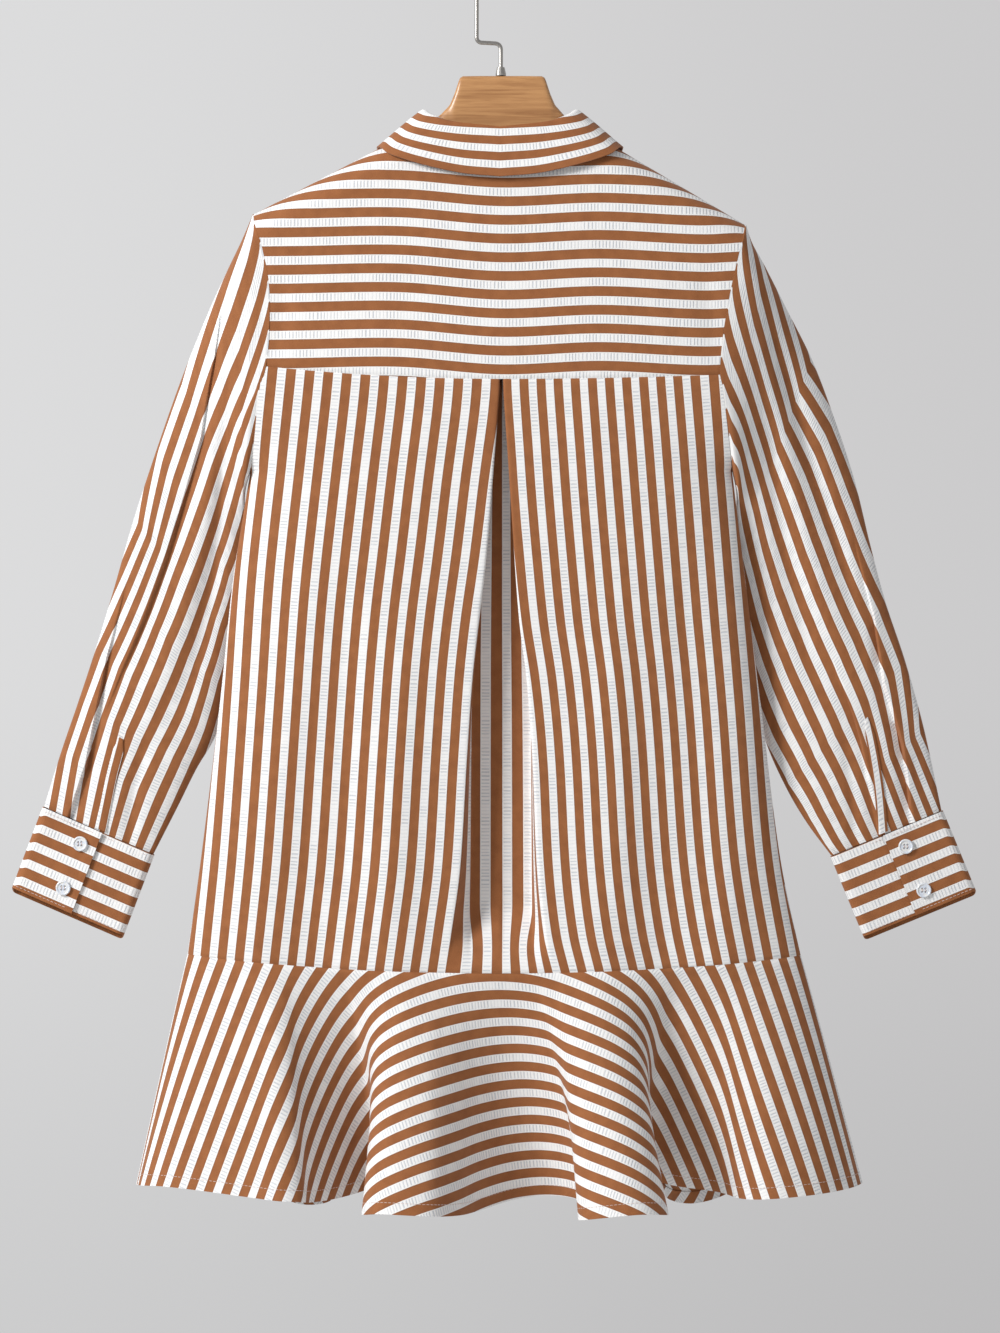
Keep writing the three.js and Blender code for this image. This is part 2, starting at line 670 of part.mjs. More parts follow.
// Front panels: from the side seam and armhole to the centre front
function buildFront(hand) {
  const sign = hand === 'left' ? -1 : 1;
  const centreX = hand === 'left' ? frontUnderlap : placketWidth / 2 + edgeGap;
  const neckEnd = neckPlace(sign * forwardSeamTurn);
  const centreTurn = 180 - (Math.asin(centreX / neckHalfWidth) * 180) / Math.PI;
  const seamGapWay = edgeGap + 0.45;
  const startSide = edgeAtSeam(hand, flounceSeamHeight, edgeGap / 2, 1);
  const shoulderEdge = edgePlace(hand, forwardSeam + seamGapWay);
  const bottom = (u) => {
    const x = mix(startSide[0], centreX, u);
    return [x, wayForDrop(shoulderLine(x) - flounceSeamHeight(x) - edgeGap / 2)];
  };
  const shoulderPart = 0.45;
  const turnEnd = hand === 'left' ? 360 - centreTurn : centreTurn;
  const top = (u) => {
    if (u < shoulderPart) {
      const share = u / shoulderPart;
      return [
        mix(shoulderEdge[0], neckEnd[0], share),
        mix(shoulderEdge[1], neckEnd[1] + seamGapWay, share),
      ];
    }
    const share = (u - shoulderPart) / (1 - shoulderPart);
    const place = neckPlace(sign * mix(forwardSeamTurn, turnEnd, share));
    return [place[0], place[1] + seamGapWay * (1 - share)];
  };
  const side = (v) => edgePlace(hand, mix(startSide[1], shoulderEdge[1], v));
  const low = bottom(1);
  const high = top(1);
  const centre = (v) => [mix(low[0], high[0], v), mix(low[1], high[1], v)];
  const columns = shoulderShares.slice(0, -1).map((share) => share * shoulderPart);
  neckTurns
    .filter((turn) => turn >= forwardSeamTurn && turn < turnEnd - 4)
    .concat(hand === 'left' ? [179] : [], [turnEnd])
    .forEach((turn) => {
      const share = (turn - forwardSeamTurn) / (turnEnd - forwardSeamTurn);
      columns.push(mix(shoulderPart, 1, share));
    });
  const rows = [0, 0.16, 0.32, 0.46, 0.57, 0.63, 0.665, 0.69, 0.72, 0.78, 0.85, 0.92, 0.97, 1];
  const places = patch(bottom, top, side, centre, columns, rows);
  const grid = places.map((row) => row.map(([x, q]) => bodyPoint(x, q)));
  const ends = { first: facing('z'), left: sideFacing };
  addPiece(`front_${hand}`, wallGeometry(grid, clothWall, ends), stripeCloth);
}

function buildPlacket() {
  const neckFoot = neckSideHeight - neckFrontDrop - 1.2;
  const bottomHeight = flounceSeamCentre + 1.2;
  const grid = shares(12).map((v) => {
    const height = mix(bottomHeight, neckFoot, v);
    return shares(2).map((u) => {
      const x = mix(-placketWidth / 2, placketWidth / 2, u);
      const point = bodyPointAtHeight(x, height, 1);
      point.y += layerStep;
      return point;
    });
  });
  const ends = { first: facing('z'), last: facing('z') };
  addPiece('front_placket', wallGeometry(grid, clothWall, ends), stripeCloth);
}

// Sleeves: the armhole's own loop, which turns into a flattened tube down to the cuff
function armholePoint(hand, share, side) {
  const sign = hand === 'left' ? -1 : 1;
  const [edgeX] = edgePlace(hand, 0);
  const full = wayForDrop(shoulderLine(edgeX) - underarmHeight);
  let way = full * share;
  for (let i = 0; i < 6; i += 1) {
    const [x] = edgePlace(hand, side * way);
    way = wayForDrop(shoulderLine(x) - underarmHeight) * share;
  }
  const [x, q] = edgePlace(hand, side * way);
  const point = bodyPoint(x, q);
  point.x += sign * mix(1.6, 2, share ** 4);
  if (share === 0 || share === 1) point.y = 0;
  return point;
}

function sleeveRow(hand, row) {
  const rows = sleeveRows[hand].map((entry, place) => ({ place, ...entry }));
  const value = (column) => tableValue(rows, 'place', column, row);
  const top = armholePoint(hand, 0, 1);
  const low = armholePoint(hand, 1, 1);
  const own = smooth(row / 1.2);
  return {
    outer: new THREE.Vector3(mix(top.x, value('outerX'), own), 0, mix(top.z, value('outerZ'), own)),
    inner: new THREE.Vector3(mix(low.x, value('innerX'), own), 0, mix(low.z, value('innerZ'), own)),
    middle: value('middle'),
    half: value('half'),
  };
}

function troughDepth(hand, row, fromFold) {
  return sleeveTroughs[hand].reduce((sum, trough) => {
    const table = trough.rows.map(([place, distance, depth]) => ({ place, distance, depth }));
    const start = table[0].place;
    const end = table[table.length - 1].place;
    if (row < start - 1 || row > end + 1) return sum;
    const distance = tableValue(table, 'place', 'distance', row);
    const fade = smooth(row - start + 1) * smooth(end + 1 - row);
    const depth = tableValue(table, 'place', 'depth', row) * fade;
    const off = (fromFold - distance) / trough.halfWidth;
    return sum + depth * Math.exp(-off * off * 2);
  }, 0);
}

function sleevePoint(hand, row, share, side) {
  const { outer, inner, middle, half } = sleeveRow(hand, row);
  const point = outer.clone().lerp(inner, share);
  const own = smooth(row / sleeveFullRow);
  if (own < 1) {
    const loop = armholePoint(hand, share, side);
    const straight = armholePoint(hand, 0, 1).lerp(armholePoint(hand, 1, 1), share);
    point.addScaledVector(loop.sub(straight), 1 - own);
  }
  const section = Math.sqrt(Math.max(1 - Math.abs(2 * share - 1) ** 2.6, 0));
  point.y += own * (middle + side * half * section);
  const chord = outer.distanceTo(inner);
  const lying = side < 0 ? troughDepth(hand, row, share * chord) : 0;
  point.y += Math.min(lying, half * section * 1.2) * own;
  return point;
}

function buildSleeve(hand) {
  const steps = 13;
  const round = shares(steps).map((u) => (1 - Math.cos(Math.PI * u)) / 2);
  const rows = [0, 0.5, 1, 2, 3, 4, 5, 6, 7, 8, 9, 10, 11];
  const grid = rows.map((row) => [
    ...round.map((share) => sleevePoint(hand, row, share, -1)),
    ...round.slice(1, -1).reverse().map((share) => sleevePoint(hand, row, share, 1)),
  ]);
  const ends = { around: true, first: facing('x') };
  addPiece(`sleeve_${hand}`, wallGeometry(grid, clothWall, ends), stripeCloth);
}

function buildSleevePlacket(hand) {
  const { rows, fromOuterFold } = sleevePlackets[hand];
  const grid = rows.map((row, i) => {
    const { outer, inner } = sleeveRow(hand, row);
    const chord = outer.distanceTo(inner);
    return shares(2).map((u) => {
      const share = (fromOuterFold[i] + sleevePlacketWidth * u) / chord;
      const point = sleevePoint(hand, row, share, -1);
      point.y -= layerStep + 0.5;
      return point;
    });
  });
  addPiece(`sleeve_placket_${hand}`, wallGeometry(grid, clothWall), stripeCloth);
}

// Cuffs: a strip that runs round the wrist and laps over itself under the buttons
function cuffPoint(hand, along, out, down) {
  const { x, z, turn, lean, middle } = cuffs[hand];
  const sign = hand === 'left' ? 1 : -1;
  const across = radians(turn);
  const fall = radians(lean);
  return new THREE.Vector3(
    x + sign * (along * Math.cos(across) + down * Math.sin(fall)),
    middle + out,
    z + along * Math.sin(across) - down * Math.cos(fall),
  );
}

function cuffPath() {
  const over = -cuffHalf - 1;
  const under = over + layerStep + 0.25;
  const lapEnd = cuffWidth * cuffOverlapShare;
  const turnShares = [0.15, 0.5, 0.85].map((u) => u * Math.PI);
  const turn = (atX, sign, from, to) =>
    turnShares.map((a) => [
      atX + sign * cuffHalf * Math.sin(a),
      mix(from, to, (1 - Math.cos(a)) / 2),
    ]);
  return [
    [lapEnd - cuffOverlapWidth, under],
    [lapEnd, under],
    [cuffWidth * 0.78, under],
    ...turn(cuffWidth - cuffHalf, 1, under, cuffHalf),
    [cuffWidth * 0.75, cuffHalf],
    [cuffWidth * 0.5, cuffHalf],
    [cuffWidth * 0.25, cuffHalf],
    ...turn(cuffHalf, -1, cuffHalf, over),
    [cuffWidth * 0.3, over],
    [lapEnd, over],
  ];
}

function buildCuff(hand) {
  const grid = [0, 0.5, 1].map((v) =>
    cuffPath().map(([along, out]) => cuffPoint(hand, along, out, v * cuffDepth)),
  );
  addPiece(`cuff_${hand}`, wallGeometry(grid, clothWall), stripeCloth);
}

// Points spaced evenly by length on a smooth line through a hem's table, with the cloth's length as z
function evenLine(table, count) {
  const points = table.map(({ x, y, length }) => new THREE.Vector3(x, y, length));
  return new THREE.CatmullRomCurve3(points, false, 'centripetal').getSpacedPoints(count);
}

function evenSeam(side, count) {
  const ends = ['left', 'right'].map((hand) =>
    edgeAtSeam(hand, flounceSeamHeight, 0, side)[0],
  );
  const raw = shares(160).map((u) => {
    const angle = Math.PI * (u - 0.5);
    const x = mix(ends[0], ends[1], (1 + Math.sin(angle)) / 2);
    return bodyPointAtHeight(x, flounceSeamHeight(x), side);
  });
  const plan = raw.map((p) => new THREE.Vector3(p.x, p.y, 0));
  const line = new THREE.CatmullRomCurve3(plan, false, 'centripetal').getSpacedPoints(count);
  return side < 0 ? line : line.reverse();
}

function buildFlounce(name, side, hem, count) {
  const seam = evenSeam(side, count);
  const edge = evenLine(hem, count);
  const grid = [0, 0.12, 0.3, 0.5, 0.7, 0.86, 1].map((v) =>
    seam.map((start, i) => {
      const across = new THREE.Vector3(edge[i].x - start.x, edge[i].y - start.y, 0);
      const drop = Math.sqrt(edge[i].z ** 2 - across.lengthSq());
      const point = start.clone().addScaledVector(across, v ** flounceEase);
      point.z = flounceSeamHeight(start.x) - edgeGap / 2 - drop * v;
      return point;
    }),
  );
  const ends = { first: facing('z'), left: facing('y'), right: facing('y') };
  addPiece(name, wallGeometry(grid, clothWall, ends), stripeCloth);
}

// Collar
function bothSides(turns) {
  return [...turns.slice(1).reverse().map((turn) => -turn), ...turns];
}

function standPoint(turn, up) {
  const sign = Math.sign(turn);
  const round = Math.abs(turn);
  const angle = radians(turn);
  const folded = Math.min(round, 360 - round);
  const foot = bodyPoint(...neckPlace(turn));
  const slant = Math.sin(angle) ** 2;
  foot.z += edgeGap + slant * 1.2 + 0.3 * smooth((round - 160) / 8);
  const steep = smooth((folded - 92) / 14) * smooth((174 - folded) / 20);
  const roll = new THREE.Vector3(
    rollHalfWidth * Math.sin(angle),
    tableValue(rollLine, 'turn', 'y', folded),
    tableValue(rollLine, 'turn', 'z', folded) - 1.4 - 1.9 * steep,
  );
  const point = foot.lerp(roll, up);
  point.y += sign * smooth((round - 148) / 24) * layerStep * 0.6;
  return point;
}

function buildCollarStand() {
  const turns = bothSides([...neckTurns, 179, standEndTurn]);
  const grid = shares(3).map((up) => turns.map((turn) => standPoint(turn, up)));
  const ends = { first: facing('z'), last: facing('z') };
  addPiece('collar_stand', wallGeometry(grid, collarWall, ends), stripeCloth);
}

function fallPoint(turn, down) {
  const sign = turn < 0 ? -1 : 1;
  const round = Math.abs(turn);
  const angle = radians(round);
  const roll = new THREE.Vector3(
    rollHalfWidth * Math.sin(angle),
    tableValue(rollLine, 'turn', 'y', round),
    tableValue(rollLine, 'turn', 'z', round),
  );
  const outward = new THREE.Vector3(Math.sin(angle), -Math.cos(angle), 0);
  const edge = new THREE.Vector3(
    tableValue(fallEdge, 'turn', 'x', Math.min(round, 170)),
    tableValue(fallEdge, 'turn', 'y', Math.min(round, 170)),
    tableValue(fallEdge, 'turn', 'z', Math.min(round, 170)),
  );
  const point = roll.clone();
  if (down < 0.06) {
    point.addScaledVector(outward, (down / 0.06) * fallOut);
    point.z += fallOver;
  } else {
    const share = (down - 0.06) / 0.94;
    const curve = Math.sin(Math.PI * share);
    point.addScaledVector(outward, fallOut + fallSwell * curve);
    point.y += fallFrontSwell * curve * smooth((round - 94) / 12);
    point.lerp(edge, share);
    point.z += fallOver * (1 - share);
  }
  point.x *= sign;
  return point;
}

function buildCollarFall() {
  const turns = bothSides(neckTurns.filter((turn) => turn <= 168));
  const grid = [0, 0.06, 0.14, 0.34, 0.6, 1].map((down) =>
    turns.map((turn) => fallPoint(turn, down)),
  );
  addPiece('collar_fall', wallGeometry(grid, collarWall), stripeCloth);
}

// Buttons: a disc with a raised rim
function buttonGeometry() {
  const rim = 1.4;
  const profile = [
    [0, 0],
    [buttonRadius, 0],
    [buttonRadius - 0.3, buttonThick],
    [buttonRadius - rim, buttonThick],
    [0, buttonThick - 0.7],
  ].map(([r, h]) => new THREE.Vector2(r, h));
  return new THREE.LatheGeometry(profile, 12);
}

function addButton(name, place, outward) {
  const mesh = addPiece(name, buttonGeometry(), buttonShell);
  mesh.quaternion.setFromUnitVectors(new THREE.Vector3(0, 1, 0), outward);
  mesh.position.copy(place);
}

function buildButtons() {
  const lift = clothWall / 2 + seamGap;
  const toFront = new THREE.Vector3(0, 1, 0);
  const toBack = new THREE.Vector3(0, -1, 0);
  frontButtonHeights.forEach((height, i) => {
    const place = bodyPointAtHeight(0, height, 1);
    place.y += layerStep + lift + 0.25;
    addButton(`button_front_${i + 1}`, place, toFront);
  });
  const neck = standPoint(179, 0.5);
  addButton('button_stand', new THREE.Vector3(0, neck.y + 1.1 + lift, standButtonHeight), toFront);
  Object.keys(cuffs).forEach((hand) => {
    cuffButtonAt.forEach(({ down }, i) => {
      const along = cuffWidth * cuffOverlapShare - cuffButtonFromEdge;
      const place = cuffPoint(hand, along, -cuffHalf - 1 - lift, down);
      addButton(`button_cuff_${hand}_${i + 1}`, place, toBack);
    });
  });
}

// Hanger: one shaped piece of wood, a ferrule and a bent wire
function hangerSection(row, sign) {
  const sides = 12;
  const shift = hangerMiddle * (1 - smooth((row.x - 44) / 30));
  const x = sign * row.x + shift;
  const top = row.under ? shoulderLine(x) - row.under : row.top;
  const squared = (value) => Math.sign(value) * Math.sqrt(Math.abs(value));
  return Array.from({ length: sides }, (_, i) => {
    const angle = (2 * Math.PI * i) / sides + Math.PI / 2;
    const height = (top + row.bottom) / 2 + ((top - row.bottom) / 2) * squared(Math.sin(angle));
    return new THREE.Vector3(x, row.half * squared(Math.cos(angle)), height);
  });
}

function buildHanger() {
  const rings = [
    ...hangerSections.slice(1).reverse().map((row) => hangerSection(row, -1)),
    ...hangerSections.map((row) => hangerSection(row, 1)),
  ];
  const sides = rings[0].length;
  const positions = rings.flat().flatMap((p) => [p.x, p.y, p.z]);
  const triangles = [];
  for (let r = 0; r < rings.length - 1; r += 1) {
    for (let s = 0; s < sides; s += 1) {
      const a = r * sides + s;
      const b = r * sides + ((s + 1) % sides);
      triangles.push([a, b, b + sides], [a, b + sides, a + sides]);
    }
  }
  const last = (rings.length - 1) * sides;
  for (let s = 1; s < sides - 1; s += 1) {
    triangles.push([0, s + 1, s], [last, last + s, last + s + 1]);
  }
  addPiece('hanger_wood', solidGeometry(positions, triangles), hangerWood);

  const bore = hookWire / 2 + seamGap;
  const foot = hangerSections[0].top + seamGap;
  const ring = [
    [bore, 0],
    [ferruleRadius, 0],
    [ferruleRadius, 1.6],
    [ferruleRadius - 1.2, ferruleHeight],
    [bore, ferruleHeight],
    [bore, 0],
  ].map(([r, h]) => new THREE.Vector2(r, h));
  const ferrule = addPiece('hanger_ferrule', new THREE.LatheGeometry(ring, 16), hookMetal);
  ferrule.rotation.x = Math.PI / 2;
  ferrule.position.set(hookStemX, 0, foot);
}

function buildHook() {
  const up = (x, z) => new THREE.Vector3(x, 0, z);
  const arcZ = -hookRadius + hookWire / 2;
  const jog = hookJogHeight;
  const path = new THREE.CurvePath();
  path.add(new THREE.LineCurve3(up(hookStemX, hookStemFoot), up(hookStemX, jog - 6)));
  path.add(new THREE.QuadraticBezierCurve3(up(hookStemX, jog - 6), up(hookStemX, jog - 1), up(hookStemX - 5, jog - 0.6)));
  path.add(new THREE.LineCurve3(up(hookStemX - 5, jog - 0.6), up(-hookRadius + 5, jog)));
  path.add(new THREE.QuadraticBezierCurve3(up(-hookRadius + 5, jog), up(-hookRadius, jog), up(-hookRadius, jog + 5)));
  path.add(new THREE.LineCurve3(up(-hookRadius, jog + 5), up(-hookRadius, arcZ)));
  const bend = [];
  for (let i = 0; i <= 16; i += 1) {
    const angle = Math.PI * (1 - i / 16);
    bend.push(up(hookRadius * Math.cos(angle), arcZ + hookRadius * Math.sin(angle)));
  }
  path.add(new THREE.CatmullRomCurve3(bend));
  path.add(new THREE.LineCurve3(up(hookRadius, arcZ), up(hookRadius, arcZ - hookTail)));
  const wire = new THREE.Shape();
  wire.absarc(0, 0, hookWire / 2, 0, 2 * Math.PI, false);
  const geometry = new THREE.ExtrudeGeometry(wire, {
    steps: 40,
    curveSegments: 3,
    bevelEnabled: false,
    extrudePath: path,
  });
  addPiece('hanger_hook', geometry, hookMetal);
}

buildHanger();
buildHook();
buildYoke();
buildBackPanel();
buildFront('left');
buildFront('right');
buildPlacket();
Object.keys(cuffs).forEach((hand) => {
  buildSleeve(hand);
  buildSleevePlacket(hand);
  buildCuff(hand);
});
buildFlounce('flounce_back', -1, flounceBackHem, 88);
buildFlounce('flounce_front', 1, flounceFrontHem, 58);
buildCollarStand();
buildCollarFall();
buildButtons();

export default dress;
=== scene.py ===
# Looks of the striped shirt dress on its wooden hanger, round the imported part.
# Forms are worked out in millimetres, as the pattern is cut, and become metres where a mesh is made.
# The back of the dress faces -Y, and +X is the wearer's right.
import math

import bmesh
import bpy
import numpy as np
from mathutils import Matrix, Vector


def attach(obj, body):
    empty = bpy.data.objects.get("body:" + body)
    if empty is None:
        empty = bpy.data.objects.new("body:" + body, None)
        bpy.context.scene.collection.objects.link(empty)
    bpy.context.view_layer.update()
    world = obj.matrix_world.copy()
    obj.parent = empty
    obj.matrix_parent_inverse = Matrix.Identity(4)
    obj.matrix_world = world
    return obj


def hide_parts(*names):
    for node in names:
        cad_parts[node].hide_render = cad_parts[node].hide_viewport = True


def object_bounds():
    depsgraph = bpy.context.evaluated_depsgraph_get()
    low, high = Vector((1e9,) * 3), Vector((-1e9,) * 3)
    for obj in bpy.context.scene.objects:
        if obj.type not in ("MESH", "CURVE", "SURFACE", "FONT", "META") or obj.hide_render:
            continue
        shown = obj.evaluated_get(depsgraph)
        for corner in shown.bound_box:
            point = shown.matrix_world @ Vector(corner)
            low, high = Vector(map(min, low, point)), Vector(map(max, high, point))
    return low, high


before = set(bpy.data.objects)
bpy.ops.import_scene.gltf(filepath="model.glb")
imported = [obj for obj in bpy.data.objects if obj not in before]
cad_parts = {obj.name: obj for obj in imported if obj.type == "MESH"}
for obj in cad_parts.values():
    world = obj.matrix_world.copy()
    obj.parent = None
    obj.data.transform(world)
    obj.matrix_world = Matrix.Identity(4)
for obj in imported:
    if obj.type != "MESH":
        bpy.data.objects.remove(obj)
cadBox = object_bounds()
mm = 0.001

# The camera stands level in front of the back of the dress
cameraPlace = {
    "distance": 3200,
    "planeDepth": -20,  # the plane on which the frame's height is measured
    "height": -578,
    "frameHeight": 1106.4,
    "sensor": 36,
}


def placeCamera():
    settings = bpy.data.cameras.new("dressCamera")
    settings.sensor_width = cameraPlace["sensor"]
    settings.lens = cameraPlace["sensor"] * cameraPlace["distance"] / cameraPlace["frameHeight"]
    settings.clip_start = 0.1
    settings.clip_end = 60
    camera = bpy.data.objects.new("dressCamera", settings)
    depth = cameraPlace["planeDepth"] - cameraPlace["distance"]
    camera.location = (0, depth * mm, cameraPlace["height"] * mm)
    camera.rotation_euler = (math.pi / 2, 0, 0)
    bpy.context.collection.objects.link(camera)
    bpy.context.scene.camera = camera


placeCamera()
print("camera placed")


# Small tools for numbers
def mix(a, b, share):
    return a + (b - a) * share


def smooth(share):
    t = np.clip(share, 0, 1)
    return t * t * (3 - 2 * t)


def table(names, *rows):
    return {name: np.array([row[i] for row in rows], float) for i, name in enumerate(names.split())}


# The value of a column at places on the key column, on a smooth line through every row
def curveValue(source, key, column, at):
    keys, values = source[key], source[column]
    if keys[-1] < keys[0]:
        keys, values = keys[::-1], values[::-1]
    slopes = np.empty_like(values)
    slopes[1:-1] = (values[2:] - values[:-2]) / (keys[2:] - keys[:-2])
    slopes[0] = (values[1] - values[0]) / (keys[1] - keys[0])
    slopes[-1] = (values[-1] - values[-2]) / (keys[-1] - keys[-2])
    at = np.asarray(at, float)
    i = np.clip(np.searchsorted(keys, at, side="right") - 1, 0, len(keys) - 2)
    span = keys[i + 1] - keys[i]
    t = np.clip((at - keys[i]) / span, 0, 1)
    cube = t * t * t
    return (
        values[i] * (2 * cube - 3 * t * t + 1)
        + values[i + 1] * (3 * t * t - 2 * cube)
        + span * slopes[i] * (cube - 2 * t * t + t)
        + span * slopes[i + 1] * (cube - t * t)
    )


# Shares from 0 to 1, closer together next to both ends, where a seam rolls in
def seamShares(length, step, fine=(0.7, 1.5, 2.6, 4)):
    ends = np.array([0, *fine]) / length
    middle = np.linspace(ends[-1], 1 - ends[-1], max(int(length / step), 2) + 1)
    return np.concatenate([ends[:-1], middle, 1 - ends[:-1][::-1]])


# How far the cloth dips into a seam, at a distance from it
def seamDip(distance, depth=0.9, reach=1.7):
    return depth * np.exp(-((distance / reach) ** 2))


def runLength(points):
    steps = np.linalg.norm(np.diff(points, axis=0), axis=1)
    return np.concatenate([[0], np.cumsum(steps)])


# Soft creases, each given from one place to another, with a half width and a height.
# A positive height stands outwards.
def creaseHeight(creases, across, up):
    total = np.zeros(np.broadcast(across, up).shape)
    for x1, z1, x2, z2, halfWidth, height in creases:
        dx, dz = x2 - x1, z2 - z1
        length = math.hypot(dx, dz)
        along = ((across - x1) * dx + (up - z1) * dz) / length
        off = ((across - x1) * dz - (up - z1) * dx) / length
        taper = smooth(along / (0.3 * length)) * smooth((length - along) / (0.3 * length))
        total = total + height * taper * np.exp(-((off / halfWidth) ** 2))
    return total


# The cloth: stripes across the cloth's first coordinate, counted in pitches, white at whole numbers
cloth = {
    "pitch": 15.5,
    "brownShare": 0.53,
    "brown": (0.335, 0.122, 0.04),
    "brownDeep": (0.205, 0.066, 0.019),
    "white": (0.86, 0.85, 0.838),
    # painted shade for the valleys of the white stripes' ribs
    "whiteRibShade": (0.5, 0.53, 0.58),
    "ribPitch": 2.9,
    "roughness": 0.82,
    "sheen": 0.12,
    "wall": 0.9,
    "collarWall": 1.4,
}


def newMaterial(name):
    material = bpy.data.materials.new(name)
    material.use_nodes = True
    tree = material.node_tree
    tree.nodes.clear()
    output = tree.nodes.new("ShaderNodeOutputMaterial")
    shader = tree.nodes.new("ShaderNodeBsdfPrincipled")
    tree.links.new(shader.outputs["BSDF"], output.inputs["Surface"])
    return material, tree, shader


# Adds a node, sets its options and feeds its inputs with numbers or with other nodes' outputs
def addNode(tree, kind, feeds=None, **options):
    node = tree.nodes.new("ShaderNode" + kind)
    for option, value in options.items():
        setattr(node, option, value)
    for key, feed in (feeds or {}).items():
        if isinstance(feed, bpy.types.NodeSocket):
            tree.links.new(feed, node.inputs[key])
        else:
            node.inputs[key].default_value = feed
    return node


def mathNode(tree, operation, first, second=0.0, third=0.0):
    feeds = {0: first, 1: second, 2: third}
    return addNode(tree, "Math", feeds, operation=operation).outputs[0]


def plus(tree, first, second):
    return mathNode(tree, "ADD", first, second)


def times(tree, first, second):
    return mathNode(tree, "MULTIPLY", first, second)


def noise(tree, place, scale, detail=2.0, distortion=0.0):
    feeds = {"Vector": place, "Scale": scale, "Detail": detail, "Distortion": distortion}
    return addNode(tree, "TexNoise", feeds).outputs[0]


def spread(tree, value, low, high, toLow=0.0, toHigh=1.0):
    feeds = {"Value": value, "From Min": low, "From Max": high, "To Min": toLow, "To Max": toHigh}
    return addNode(tree, "MapRange", feeds, interpolation_type="SMOOTHSTEP").outputs["Result"]


def mixColor(tree, share, first, second):
    feeds = {"Factor": share, 6: first, 7: second}
    return addNode(tree, "Mix", feeds, data_type="RGBA").outputs[2]


def rgba(color):
    return (*color, 1)


def makeStripedCloth():
    material, tree, shader = newMaterial("striped_cloth")
    place = addNode(tree, "UVMap", uv_map="Cloth").outputs[0]
    parts = addNode(tree, "SeparateXYZ", {0: place})
    across, along = parts.outputs[0], parts.outputs[1]
    # 0 in the middle of a brown stripe, 0.5 in the middle of a white one
    wave = mathNode(tree, "PINGPONG", plus(tree, across, 0.5), 0.5)
    edge = cloth["brownShare"] / 2
    white = spread(tree, wave, edge - 0.012, edge + 0.012)
    stripe = mathNode(tree, "FLOOR", plus(tree, across, 0.5))
    # the puckered white stripes: short ribs across the stripe, unlike from one stripe to the next; their
    # valleys are low in the bump and greyed with painted shade
    shifted = plus(tree, along, times(tree, stripe, 7.31))
    stripePlace = addNode(tree, "CombineXYZ", {0: times(tree, stripe, 3.7), 1: shifted}).outputs[0]
    sway = noise(tree, stripePlace, 1.6, 1.0)
    ribCount = times(tree, shifted, cloth["pitch"] / cloth["ribPitch"])
    ribWave = mathNode(tree, "PINGPONG", plus(tree, ribCount, times(tree, sway, 1.1)), 0.5)
    patches = noise(tree, stripePlace, 1.1, 1.5)
    ribShadeBand = spread(tree, ribWave, 0.22, 0.42)
    patchy = spread(tree, patches, 0.34, 0.6, 0.3, 1.0)
    inStripe = spread(tree, wave, edge + 0.035, edge + 0.08)
    ribShadeMask = times(tree, times(tree, ribShadeBand, patchy), inStripe)
    # the smooth brown stripes: fine yarns and a slow change of tone
    yarnPlace = addNode(tree, "Mapping", {"Vector": place, "Scale": (46, 14, 1)}).outputs[0]
    yarns = noise(tree, yarnPlace, 1.0, 2.0)
    tone = noise(tree, place, 1.4, 2.0)
    brownTone = plus(tree, times(tree, yarns, 0.55), times(tree, tone, 0.45))
    border = spread(tree, wave, edge - 0.07, edge - 0.01, 0.0, 0.35)
    brownShare = plus(tree, spread(tree, brownTone, 0.35, 0.68, 0.0, 0.55), border)
    brown = mixColor(tree, brownShare, rgba(cloth["brown"]), rgba(cloth["brownDeep"]))
    # the white, greyed with painted shade in its rib valleys
    whiteRibShaded = mixColor(tree, times(tree, ribShadeMask, 0.72), rgba(cloth["white"]), rgba(cloth["whiteRibShade"]))
    color = mixColor(tree, white, brown, whiteRibShaded)
    # height for the bump: ribs in the white, yarns everywhere
    ribHeight = times(tree, mathNode(tree, "SUBTRACT", 1.0, ribShadeMask), white)
    weavePlace = addNode(tree, "Mapping", {"Vector": place, "Scale": (38, 38, 1)}).outputs[0]
    weave = noise(tree, weavePlace, 1.0, 1.0)
    height = plus(tree, times(tree, ribHeight, 0.9), times(tree, weave, 0.3))
    bump = addNode(tree, "Bump", {"Strength": 0.55, "Distance": 0.0005, "Height": height}).outputs[0]
    tree.links.new(color, shader.inputs["Base Color"])
    tree.links.new(bump, shader.inputs["Normal"])
    shader.inputs["Roughness"].default_value = cloth["roughness"]
    shader.inputs["Sheen Weight"].default_value = cloth["sheen"]
    shader.inputs["Sheen Roughness"].default_value = 0.5
    shader.inputs["Specular IOR Level"].default_value = 0.3
    return material


stripedCloth = makeStripedCloth()
print("striped cloth mixed")


